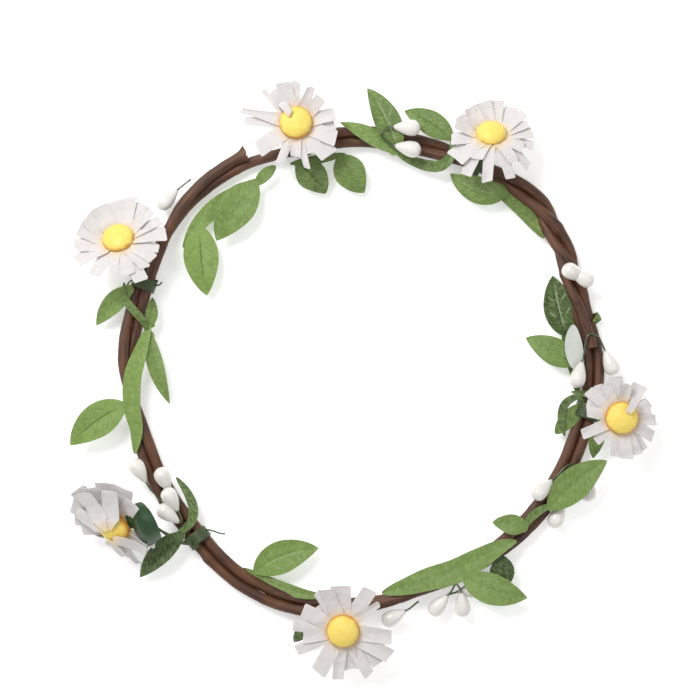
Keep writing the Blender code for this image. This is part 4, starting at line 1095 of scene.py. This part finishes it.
for number, daisy in enumerate(DAISIES, 1):
    foot, leave, middle, facing, place = stand(*daisy)
    body = f"daisy_{number}"
    wide, high = DOME_SIZES.get(number, (1, 1))
    own_dome = [(r * wide, h if h <= centre_low + RIM_HEIGHT else h * high) for r, h in dome]
    centre_mesh = turned("centre", own_dome, DOME_SIDES, place, rough=FOAM_ROUGHNESS)
    centre = keep(f"{body}_foam_centre", centre_mesh)
    centre.data.materials.append(foam_look)
    place_piece(centre, body, "yellow_centre", f"{body}_centre")

    drop = SEPAL_ROOM if number == SEPAL_DAISY else 0.0
    top = -SHEET_HALF - GAP - drop
    low = top - CALYX_HEIGHT
    cup = [(STEM_BORE, low), (CALYX_MOUTH - 0.3, low), (CALYX_MOUTH, low + CALYX_EDGE)]
    for i in range(1, CALYX_RINGS):
        share = i / CALYX_RINGS
        cup.append((CALYX_MOUTH + (CALYX_RADIUS - CALYX_MOUTH) * math.sin(share * math.pi / 2) ** 0.9,
                    low + CALYX_EDGE + (CALYX_HEIGHT - CALYX_EDGE) * share))
    cup += [(CALYX_RADIUS, top), (STEM_BORE, top)]
    calyx_mesh = turned("calyx", cup, CALYX_SIDES, place, closed=True, ribs=CALYX_RIB_HEIGHT)
    calyx = keep(f"{body}_calyx_cup", calyx_mesh)
    calyx.data.materials.append(calyx_look)
    place_piece(calyx, body, "green_calyx", f"{body}_calyx")

    base = middle + facing * low
    pull = STEM_PULL * (base - foot).length
    ends = (foot, foot + leave * pull, base - facing * pull, base)
    route = [bezier(ends, i / 12) for i in range(13)] + [middle + facing * (socket_top - GAP)]
    points = through(route, STEM_STEP)
    stem_line = {"points": points, "thick": STEM_RADIUS * STEM_SWELL, "along": runs(points)}
    stem = grow(f"{body}_taped_stem", line_mesh("stem", [stem_line]), round_tree,
                {"Sides": 16, "Capped": True, "Crease depth": 0.03, "Wrap pitch": 2.6,
                 "Wrap step": 0.07, "Seed": float(number), "Material": tape_look})
    place_piece(stem, body, "green_stem_wire", f"{body}_stem")
print("made", len(DAISIES), "centres, calyxes and stems")

# %% [markdown]
# ## The open daisy's sepals
#
# One daisy has been crushed open, so four green sepals of its calyx show. They are moulded leaves
# that bulge like spoons, and a line down each is enough for the cloth sweep to make them.

# %% Sepals
SEPAL_POINT = 0.15          # half width left at a sepal's ends
SEPAL_STEP = 0.4
SEPAL_THICKNESS = 0.4
# points of a sepal's middle in the flower's own frame, then its width and how far its sides drop
SEPAL_LEAVES = (
    (((10.2, -11.0, -4.6), (11.0, -7.0, -0.4), (11.2, -1.0, 1.8), (10.8, 5.0, 2.0), (9.0, 10.4, -0.6)),
     10.8, 3.6),
    (((5.6, -1.0, -0.4), (6.8, 3.6, 0.5), (8.2, 8.2, 0.6), (7.0, 11.4, 0.2)), 5.0, 0.8),
    (((-1.0, -2.0, -0.7), (-5.0, -4.6, -1.0), (-9.0, -6.4, -1.6), (-13.0, -7.2, -2.4)), 5.0, 0.8),
    (((1.0, -2.0, -0.7), (3.4, -6.0, -1.0), (5.6, -10.0, -2.2), (8.0, -14.0, -4.4)), 7.0, 1.2),
)

foot, leave, middle, facing, place = stand(*DAISIES[SEPAL_DAISY - 1])
lines = []
for number, (middle_line, width, drop) in enumerate(SEPAL_LEAVES):
    points = through([Vector(p) for p in middle_line], SEPAL_STEP)
    run = runs(points)
    shares = [min(1, gone / run[-1]) for gone in run]
    halves = [max(SEPAL_POINT, width / 2 * math.sin(math.pi * share ** 0.95) ** 0.55) for share in shares]
    travel = directions(points)
    lines.append({"points": [place @ p for p in points], "half": halves, "along": run,
                  "sideways": [place.to_3x3() @ way.cross(UP) for way in travel],
                  "cup": -drop, "veined": 0.0, "number": float(number)})
sepals = grow("daisy_5_open_sepals", line_mesh("sepals", lines), cloth_tree,
              {"Points across": 21, "Rib spacing": 1.0, "Rib height": 0.0, "Vein spacing": 2.0,
               "Vein depth": 0.0, "Crumple": 0.4, "Seed": 1.0, "Material": calyx_look},
              wall=SEPAL_THICKNESS)
place_piece(sepals, "daisy_5", "green_calyx", "daisy_5_sepals")
print("made", len(lines), "sepals")

# %% [markdown]
# ## The ties
#
# A stem is bound to the twigs with a few close turns of floral tape. Each turn is pulled flat, so
# its section is a rounded strip. Blender's own spiral curve is the right start for a binding: the
# tree sweeps a flattened section along it. Two of the ties still show the ends of the wire that was
# twisted off behind them.

# %% The tree of a binding
tie_tree, given, back = new_tree("binding", {
    "Turns": "NodeSocketFloat", "Radius": "NodeSocketFloat", "Length": "NodeSocketFloat",
    "Tape width": "NodeSocketFloat", "Tape thickness": "NodeSocketFloat", "Material": "NodeSocketMaterial"})
coil = add(tie_tree, "GeometryNodeCurveSpiral",
           {"Resolution": 64, "Rotations": given["Turns"], "Start Radius": given["Radius"],
            "End Radius": given["Radius"], "Height": given["Length"]})
coil_up = add(tie_tree, "GeometryNodeSetCurveNormal", {"Curve": coil}, mode="Z_UP")
length = add(tie_tree, "ShaderNodeMath",
             {0: add(tie_tree, "GeometryNodeSplineParameter").outputs["Length"], 1: 1 / MM},
             operation="MULTIPLY")
coil_run = add(tie_tree, "GeometryNodeStoreNamedAttribute",
               {"Geometry": coil_up, "Name": "along", "Value": length}, data_type="FLOAT", domain="POINT")
section = add(tie_tree, "GeometryNodeCurvePrimitiveCircle", {"Resolution": 14, "Radius": 0.5})
squash = add(tie_tree, "ShaderNodeCombineXYZ",
             {"X": given["Tape thickness"], "Y": given["Tape width"], "Z": 1.0})
section_place = add(tie_tree, "ShaderNodeVectorMath",
                    {0: add(tie_tree, "GeometryNodeInputPosition"), 1: squash}, operation="MULTIPLY")
flat_section = add(tie_tree, "GeometryNodeSetPosition", {"Geometry": section, "Position": section_place})
named_section = add(tie_tree, "GeometryNodeStoreNamedAttribute",
                    {"Geometry": flat_section, "Name": "around",
                     "Value": add(tie_tree, "GeometryNodeInputPosition")},
                    data_type="FLOAT_VECTOR", domain="POINT")
wound = add(tie_tree, "GeometryNodeCurveToMesh",
            {"Curve": coil_run, "Profile Curve": named_section, "Scale": MM, "Fill Caps": True})
round_place = add(tie_tree, "GeometryNodeInputNamedAttribute", {"Name": "around"},
                  data_type="FLOAT_VECTOR")
along_place = add(tie_tree, "GeometryNodeInputNamedAttribute", {"Name": "along"}, data_type="FLOAT")
strand_place = add(tie_tree, "ShaderNodeVectorMath",
                   {0: round_place, 1: add(tie_tree, "ShaderNodeCombineXYZ", {"Z": along_place})},
                   operation="ADD")
named = add(tie_tree, "GeometryNodeStoreNamedAttribute",
            {"Geometry": wound, "Name": "strand", "Value": strand_place},
            data_type="FLOAT_VECTOR", domain="POINT")
real = add(tie_tree, "GeometryNodeRealizeInstances", {"Geometry": named})
painted = add(tie_tree, "GeometryNodeSetMaterial", {"Geometry": real, "Material": given["Material"]})
tie_tree.links.new(painted.outputs[0], back["Geometry"])

# %% Ties
TIE_LENGTH = 6.0
TAPE_TURNS = 4.6
TAPE_WIDTH = 1.5
TAPE_THICKNESS = 0.5
TIE_WIRE_RADIUS = 0.32
TIE_WIRE_STEP = 0.3
# wire ends that stand out of a tie: (angle, out, up) places
TIE_WIRES = {
    3: (((158.5, 3.9, 6.4), (159.0, 4.8, 6.8), (160.4, 5.6, 6.4), (161.6, 5.2, 5.4)),
        ((158.0, -3.9, 6.2), (157.4, -5.4, 6.6), (156.4, -6.0, 6.0))),
    5: (((226.6, -4.2, 6.0), (228.0, -5.8, 6.6), (230.2, -7.6, 7.0), (231.2, -8.8, 7.4)),
        ((225.4, 4.3, 6.4), (223.4, 6.0, 6.6), (221.0, 7.6, 6.4), (218.8, 9.4, 6.6))),
}


def joined(name, pieces):
    """Several finished objects as one."""
    with bpy.context.temp_override(active_object=pieces[0], selected_editable_objects=pieces):
        bpy.ops.object.join()
    pieces[0].name = name
    pieces[0].data.name = name
    return pieces[0]


for number, daisy in enumerate(DAISIES, 1):
    angle = daisy[0]
    binding = grow(f"tape_tie_{number}", bpy.data.meshes.new("none"), tie_tree,
                   {"Turns": TAPE_TURNS, "Radius": (TIE_RADIUS - TAPE_THICKNESS / 2) * MM,
                    "Length": (TIE_LENGTH - TAPE_WIDTH) * MM, "Tape width": TAPE_WIDTH,
                    "Tape thickness": TAPE_THICKNESS, "Material": tape_look})
    turn = UP.rotation_difference(along(angle)).to_matrix().to_4x4()
    start = spot(angle, 0, HOOP_HEIGHT) - along(angle) * (TIE_LENGTH - TAPE_WIDTH) / 2
    binding.data.transform(Matrix.Translation(start * MM) @ turn)
    if number in TIE_WIRES:
        lines = []
        for places in TIE_WIRES[number]:
            points = through([spot(*p) for p in places], TIE_WIRE_STEP)
            lines.append({"points": points, "thick": TIE_WIRE_RADIUS, "along": runs(points)})
        wires = grow("wires", line_mesh("wires", lines), round_tree,
                     {"Sides": 12, "Capped": True, "Crease depth": 0.02, "Wrap pitch": 2.0,
                      "Wrap step": 0.04, "Seed": 1.0, "Material": tape_look})
        binding = joined(f"tape_tie_{number}", [binding, wires])
    place_piece(binding, "hoop", "green_floral_tape", f"tie_{number}")
print("made", len(DAISIES), "ties of", TAPE_TURNS, "turns")

# %% [markdown]
# ## The leaf ribbons
#
# A leaf ribbon is cut in one piece: a stem band with leaves on both sides, pressed with veins by a
# hot die. It is threaded between the twigs and laid over them. The tables give each leaf's root,
# heading and size, and each band's width and the places it passes. A leaf folds a little along its
# midrib and its tip curls, and every leaf has its own darkness of green, partly its own tone and partly
# painted shade.

# %% Where the leaf ribbons lie
RIBBON_THICKNESS = 0.32
# leaf: root (angle, out, up), heading from outward, length, width, bow, rise, bank; then shade (own
# tone and painted shade), fold and veins (above 0 a painted pale highlight, below 0 painted dark shade).
# band: width, places, shade; then how pale, if it shows its back
RIBBONS = (
    {"leaves": (((118.5, -9.6, 5.8), 116, 26.0, 13.5, 1.0, 2.2, 0, 0.3, 0.9, -0.25),
                ((138.0, -8.6, 5.2), 138, 26.0, 12.8, 0.5, 1.5, 0, 0.12, 0.7, -1)),
     "bands": ((4.5, ((112.3, -5.8, 6.2), (115.5, -7.6, 6.0), (119.5, -10.0, 5.7)), 0.35),
               (6.5, ((117.5, -8.6, 5.7), (124.0, -9.2, 5.2), (132.0, -8.6, 5.0), (139.0, -8.2, 5.1),
                      (145.5, -7.9, 5.3)), 0.2))},
    {"leaves": (((107.0, -6.4, 5.6), 208, 15.5, 11.0, -1.0, -1.0, 0, 0.6, 0.8, -1),
                ((95.0, -6.2, 5.6), 208, 16.5, 11.5, 0.5, -1.0, 0, 0.4, 0.8, -0.5)),
     "bands": ((3.4, ((108.5, -6.2, 5.4), (101.0, -6.6, 5.4), (93.5, -6.2, 5.4)), 0.6),)},
    {"leaves": (((79.5, -5.0, 9.4), 72, 24.0, 6.0, 1.0, 0.3, 0, 0.25, -0.8, 0),
                ((79.6, -4.6, 9.5), 36, 25.9, 9.6, 1.5, 1.5, 0, 0.5, 1.0, 0.7),
                ((67.6, 5.2, 8.4), 81, 20.5, 9.0, 1.0, -3.0, 0, 0.4, 0.8, -0.6)),
     "bands": ((4.2, ((80.5, -4.4, 9.3), (77.5, -5.8, 8.6), (74.0, -6.5, 7.0), (70.5, -6.5, 7.0),
                      (67.6, -5.0, 8.4), (66.4, -1.0, 9.4), (67.0, 3.4, 9.0), (68.3, 6.2, 8.2)), 0.6),)},
    {"leaves": (((49.5, -4.6, 5.4), 111, 22.0, 10.0, -2.4, 0.5, 0, 0.4, 0.8, 0.3),),
     "bands": ((5.6, ((57.0, -4.6, 5.4), (51.0, -5.0, 5.0), (43.5, -5.6, 4.6), (35.0, -4.6, 4.4)), 0.4),)},
    {"leaves": (((8.6, -7.6, 3.0), 94.5, 22.8, 11.6, -0.6, 0.5, 4, 0.85, 0.9, 1),
                ((0.8, -6.4, 4.4), 151, 21.0, 10.0, 0.5, 0.8, 0, 0.3, 0.7, -0.2),
                ((348.0, 6.0, 6.3), 270, 14.5, 6.0, 0.5, -1.0, 0, 0.45, 0.5, 0)),
     "bands": ((6.0, ((11.5, -7.6, 2.8), (6.0, -7.6, 3.2), (359.5, -6.4, 3.2), (353.5, -5.0, 3.0)), 0.6),
               (3.2, ((351.5, -2.2, 7.6), (352.4, -5.0, 7.2), (350.4, -8.4, 6.6), (347.2, -8.6, 5.6),
                      (344.0, -6.8, 5.0), (341.8, -5.0, 4.6)), 0.75),
               (6.2, ((351.0, -1.4, 6.9), (348.0, -4.4, 6.2), (344.6, -6.8, 5.0), (341.6, -8.4, 4.0)),
                0.45),
               (6.6, ((11.4, -4.4, 6.2), (7.0, -6.2, 6.6), (2.4, -6.6, 6.4), (358.4, -4.8, 5.4)), 0.2, 1.0),
               (3.0, ((353.6, -7.2, 5.1), (353.5, -5.2, 6.9), (353.5, -2.0, 7.4), (353.5, 2.4, 7.4),
                      (352.3, 5.8, 6.6), (346.5, 6.6, 6.2)), 0.6),
               (4.0, ((8.2, -9.6, 3.4), (9.0, -6.8, 2.6), (10.2, -3.4, 1.0), (11.0, 1.0, 0.8),
                      (12.0, 5.2, 1.8), (12.2, 6.2, 4.0), (11.8, 4.9, 5.9), (11.2, 3.1, 6.6)), 0.55))},
    {"leaves": (((323.2, 2.4, 9.0), 77, 28.0, 12.0, -1.5, 1.0, 0, 0.28, 0.9, 0),
                ((316.6, 1.0, 9.2), 214, 13.0, 7.4, 0.5, 0.2, 0, 0.3, 0.6, 0)),
     "bands": ((3.0, ((325.5, 2.6, 8.9), (321.5, -0.2, 8.9), (318.5, -0.8, 9.0), (315.0, 0.4, 9.1)),
                0.5),)},
    {"leaves": (((296.5, 1.0, 9.2), 44.8, 25.2, 11.4, 1.0, -1.2, 0, 0.22, 0.8, -0.2),
                ((307.4, 2.6, 7.0), 318, 13.0, 9.0, -0.5, -2.0, 0, 0.95, 0.6, 0)),
     "bands": ((9.0, ((276.0, -3.4, 8.6), (282.0, -3.4, 9.0), (288.0, -3.2, 9.1), (295.0, -1.8, 9.2),
                      (302.0, -1.4, 9.2), (309.4, -0.2, 8.8), (312.4, 1.6, 8.2)), 0.25),)},
    {"leaves": (((243.0, -4.6, 5.0), 138, 25.4, 12.0, -2.0, 1.6, 0, 0.2, 0.8, 0.4),
                ((259.6, 6.0, 6.6), 328, 9.5, 5.0, 0.5, -2.0, 0, 0.8, 0.5, 0)),
     "bands": ((4.4, ((240.0, -3.8, 4.4), (246.5, -4.4, 4.4), (252.0, -4.6, 4.8), (257.0, -4.4, 5.6),
                      (262.0, -4.2, 6.0)), 0.3),
               (3.4, ((262.4, -3.0, 7.4), (261.8, 0.8, 8.6), (260.8, 4.8, 7.6), (259.6, 7.2, 6.4)), 0.7))},
    {"leaves": (((223.4, 2.4, 8.2), 2, 23.5, 8.0, 1.0, -3.6, 0, 0.85, 1.6, 0),),
     "bands": ((3.6, ((211.0, -6.4, 5.6), (216.0, -7.0, 6.2), (220.5, -5.4, 7.2), (222.6, -2.0, 7.3),
                      (222.8, 2.5, 7.5), (222.7, 6.8, 7.4)), 0.7),)},
    {"leaves": (((188.9, 1.8, 9.2), 27, 25.6, 12.4, 1.5, -1.0, 0, 0.12, 0.8, -1),
                ((169.8, -6.4, 6.4), 116, 28.0, 6.0, 1.0, 0.0, 0, 0.3, 0.7, -0.3),
                ((169.0, -6.4, 6.4), 276, 11.0, 4.5, 0.5, -0.5, 0, 0.4, 0.4, 0),
                ((160.2, 3.4, 6.6), 66, 19.6, 7.4, 1.0, -1.5, 0, 0.25, 0.7, 0)),
     "bands": ((6.6, ((168.0, -6.4, 6.5), (175.0, -5.2, 8.2), (182.0, -2.4, 9.3), (190.0, 0.2, 9.2),
                      (195.5, 1.0, 8.3), (201.0, 4.2, 7.2)), 0.15),
               (3.0, ((170.5, -6.3, 6.6), (167.5, -3.4, 8.8), (165.5, 0.6, 9.4), (163.5, 4.6, 8.4),
                      (160.0, 7.0, 6.3)), 0.6))},
)
leaf_count = sum(len(ribbon["leaves"]) for ribbon in RIBBONS)
print(len(RIBBONS), "leaf ribbons with", leaf_count, "leaves")

# %% Leaf ribbons
CLOTH_STEP = 0.4
LEAF_ROOT_WIDTH = 4.4       # a leaf is broad where it leaves its band
LEAF_POINT = 0.12           # width left at a leaf's tip
TIP_FROM, TIP_SPAN = 0.7, 0.3       # shares of a leaf's length between which its tip curls
TIP_DROP = 1.2
LEAF_ARCH = 0.9
END_SHARE = 0.12            # share of its width that a band keeps at its ends
BAND_FULLNESS = 0.55        # below 1, a band is fuller towards its ends
BAND_FOLD = 0.25
BANDS_FROM = 10             # bands are numbered after the leaves, and a number picks its own buckles
VEIN_SPACING = 6.0
VEIN_DEPTH = -0.22          # pressed into the face
LEAF_CRUMPLE = 0.9
SELVAGE = 4                 # how much wider a strip of ribbon is than its widest leaf


def leaf_line(root, heading, length, width, bow, rise, bank, shade, fold, vein, number):
    """A leaf's line from its root to its tip, with its outline."""
    start = spot(*root)
    way = outward(root[0] + heading)
    side = way.cross(UP)
    count = round(length / CLOTH_STEP)
    points, halves = [], []
    for i in range(count + 1):
        t = i / count
        tip_curl = TIP_DROP * ease((t - TIP_FROM) / TIP_SPAN)
        points.append(start + way * (length * t) + side * (bow * 4 * t * (1 - t))
                      + UP * (rise * t - tip_curl + LEAF_ARCH * math.sin(math.pi * t)))
        belly = math.sin(math.pi * t ** 0.85) ** 0.8 if 0 < t < 1 else 0
        base = min(LEAF_ROOT_WIDTH, width) * (1 - t) ** 2 * min(1.0, 0.3 + t * 12)
        halves.append(max(base, width * belly, LEAF_POINT) / 2)
    travel = directions(points)
    first = travel[0].cross(UP)
    first.rotate(Matrix.Rotation(math.radians(bank), 3, travel[0]))
    folds = [fold * math.sin(math.pi * min(1.0, i / count)) for i in range(count + 1)]
    return {"points": points, "half": halves, "along": runs(points), "sideways": carried(first, travel),
            "fold": folds, "veined": float(vein), "part": [i / count for i in range(count + 1)],
            "shade": float(shade), "pale": 0.0, "number": float(number)}


def band_line(number, width, places, shade, pale=0.0):
    """A band's line, pointed at both ends."""
    points = through([spot(*p) for p in places], CLOTH_STEP)
    run = runs(points)
    shares = [min(1.0, gone / run[-1]) for gone in run]
    halves = [width / 2 * max(END_SHARE, math.sin(math.pi * share) ** BAND_FULLNESS) for share in shares]
    travel = directions(points)
    return {"points": points, "half": halves, "along": run,
            "sideways": carried(travel[0].cross(UP), travel),
            "fold": BAND_FOLD, "veined": 0.0, "part": shares, "shade": float(shade), "pale": float(pale),
            "number": float(number)}


for number, ribbon in enumerate(RIBBONS, 1):
    lines = [band_line(BANDS_FROM + i, *band) for i, band in enumerate(ribbon["bands"])]
    lines += [leaf_line(*leaf, i) for i, leaf in enumerate(ribbon["leaves"])]
    cut = grow(f"satin_leaf_ribbon_{number}", line_mesh("ribbon", lines), cloth_tree,
               {"Points across": 31, "Rib spacing": 1.0, "Rib height": 0.0, "Vein spacing": VEIN_SPACING,
                "Vein depth": VEIN_DEPTH, "Crumple": LEAF_CRUMPLE, "Seed": number * 3.3,
                "Material": satin_look}, wall=RIBBON_THICKNESS)
    place_piece(cut, "hoop", "satin_leaf_ribbon", f"leaf_ribbon_{number}")
    strip = round(max(2 * max(line["half"]) for line in lines) + SELVAGE)
    length = declare_cloth(lines, strip)
    print(cut.name, len(ribbon["leaves"]), "leaves from a strip", strip, "mm by", length, "mm")

# %% [markdown]
# ## The pips
#
# A pip is a seed of hard foam on a thin wire, dipped in white lacquer. The dip leaves a full round
# end and runs thin towards the wire, like a drop. The lacquer is smooth enough to mirror the
# softboxes.

# %% Lacquered pips
# White lacquer, dipped: glossy, slightly warm, and a touch greyer where it has run thin.
pip_look, tree, shader = new_material("white_lacquer_dipped", Roughness=0.22, Coat_Weight=0.6,
                                      Coat_Roughness=0.08)
strand = add(tree, "ShaderNodeAttribute", attribute_name="strand")
cloudy = add(tree, "ShaderNodeTexNoise", {"Vector": strand.outputs["Vector"], "Scale": 0.5, "Detail": 2.0})
lacquer = add(tree, "ShaderNodeMix", {"Factor": cloudy, MIX_A: linear("#dbd7d1"),
                                      MIX_B: linear("#e8e5e0")}, data_type="RGBA")
wire = add(tree, "ShaderNodeAttribute", attribute_name="wire")
pip_tone = add(tree, "ShaderNodeMix", {"Factor": wire.outputs["Fac"], MIX_A: lacquer.outputs[MIX_OUT],
                                       MIX_B: linear("#3b4a2c")}, data_type="RGBA")
tree.links.new(pip_tone.outputs[MIX_OUT], shader.inputs["Base Color"])
runs_bump = add(tree, "ShaderNodeBump", {"Strength": 0.08, "Distance": 0.0002, "Height": cloudy})
tree.links.new(runs_bump.outputs[0], shader.inputs["Normal"])

# %% Where the pips lie
PIP_RADIUS = 3.0
PIP_LENGTH = 10.0
PIP_BELLY = 0.3             # share of its length from the round end to its thickest place
PIP_RINGS = 32
BARE_FROM = 0.93            # share of its length where the lacquer ends
PIP_WIRE_RADIUS = 0.35
PIP_WIRE_STEP = 0.6
# share of the length from the round end, then share of the full radius
PIP_PROFILE = ((0.0, 0.0), (0.006, 0.17), (0.025, 0.37), (0.06, 0.6), (0.11, 0.79), (0.18, 0.93),
               (0.3, 1.0), (0.44, 0.96), (0.58, 0.84), (0.72, 0.65), (0.86, 0.42), (0.95, 0.24),
               (1.0, 0.13))
# a spray: pips as (underside of the round end, neck), and the places of the wire between or after them
SPRAYS = (
    (((77.4, 5.0, 9.6), (82.6, 4.0, 12.4)), ((76.0, -2.6, 9.6), (81.4, -2.4, 12.4)),
     ((84.6, 0.8, 12.6),)),
    (((24.7, -0.9, 9.6), (23.6, 0.6, 11.8)), ((21.2, 4.2, 8.4), (22.6, 2.2, 11.4)),
     ((23.2, 1.4, 12.0),)),
    (((356.9, -6.2, 6.0), (3.0, -3.8, 8.6)), ((0.1, 6.4, 4.0), (7.2, 3.4, 7.6)), ((8.4, 0.0, 9.6),)),
    (((325.3, -4.4, 7.2), (331.0, -2.2, 8.6)), ((331.3, 11.4, 2.6), (335.6, 7.4, 5.8)),
     ((335.6, 0.6, 7.6),)),
    (((322.3, 7.0, 2.0), (327.4, 5.6, 4.6)), None, ((331.5, 4.9, 4.6),)),
    (((287.8, 8.1, 3.4), (292.6, 4.3, 8.6)), ((293.4, 12.1, 2.8), (294.8, 5.0, 8.6)),
     ((294.3, 2.6, 9.0),)),
    (((297.9, 8.2, 1.8), (293.6, 5.6, 5.0)), None, ((290.0, 5.0, 5.0),)),
    (((277.0, 6.8, 3.4), (281.9, 4.9, 7.4)), None, ((284.5, 3.2, 8.6),)),
    (((203.9, 5.0, 7.0), (210.5, 3.8, 8.6)), ((208.6, -2.4, 7.0), (213.6, -1.6, 7.4)),
     ((215.4, 1.2, 7.4),)),
    (((213.9, -1.2, 8.8), (218.6, -0.6, 9.8)), ((216.4, 3.4, 7.4), (220.6, 1.6, 9.6)),
     ((220.8, 0.4, 9.7),)),
    (((139.6, 6.8, 3.0), (134.8, 5.6, 5.6)), None, ((131.6, 5.0, 5.6),)),
)


def pip_stretch(underside, neck):
    """The points, thicknesses and share of bare wire from a pip's round end to its neck."""
    middle = spot(*underside) + UP * PIP_RADIUS
    neck = spot(*neck)
    way = (neck - middle).normalized()
    start = middle - way * (PIP_BELLY * PIP_LENGTH)
    points, thick, bare = [], [], []
    for i in range(PIP_RINGS + 1):
        share = (i / PIP_RINGS) ** 1.3
        points.append(start + way * (PIP_LENGTH * share))
        thick.append(max(0.02, PIP_RADIUS * smooth(PIP_PROFILE, share)))
        bare.append(ease((share - BARE_FROM) / (1 - BARE_FROM)))
    if (neck - points[-1]).dot(way) > 0.5:
        points.append(neck)
        thick.append(PIP_WIRE_RADIUS)
        bare.append(1.0)
    return points, thick, bare


for number, (first, second, wire_places) in enumerate(SPRAYS, 1):
    points, thick, bare = pip_stretch(*first)
    route = [points[-1], *[spot(*place) for place in wire_places]]
    ending = [[], [], []]
    if second:
        ending = [values[::-1] for values in pip_stretch(*second)]
        route.append(ending[0][0])
    wire = through(route, PIP_WIRE_STEP)[1:-1 if second else None]
    points += wire + ending[0]
    thick += [PIP_WIRE_RADIUS] * len(wire) + ending[1]
    bare += [1.0] * len(wire) + ending[2]
    line = {"points": points, "thick": thick, "along": runs(points), "wire": bare}
    spray = grow(f"lacquered_pips_{number}", line_mesh("pips", [line]), round_tree,
                 {"Sides": 28, "Capped": True, "Crease depth": 0.0, "Wrap pitch": 5.0,
                  "Wrap step": 0.0, "Seed": float(number), "Material": pip_look})
    place_piece(spray, "hoop", "lacquered_pip", f"pip_spray_{number}")
print("made", len(SPRAYS), "sprays of pips")

# %% [markdown]
# ## The sizes
#
# The visible pieces must stay within the imported model's box, give or take what soft cloth may stand
# proud. Both boxes are written down side by side.

# %% Sizes
visual_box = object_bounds()
for label, (lowest, highest) in (("CAD", cad_box), ("visual", visual_box)):
    print(label, [round(v * 1000, 1) for v in lowest], [round(v * 1000, 1) for v in highest])
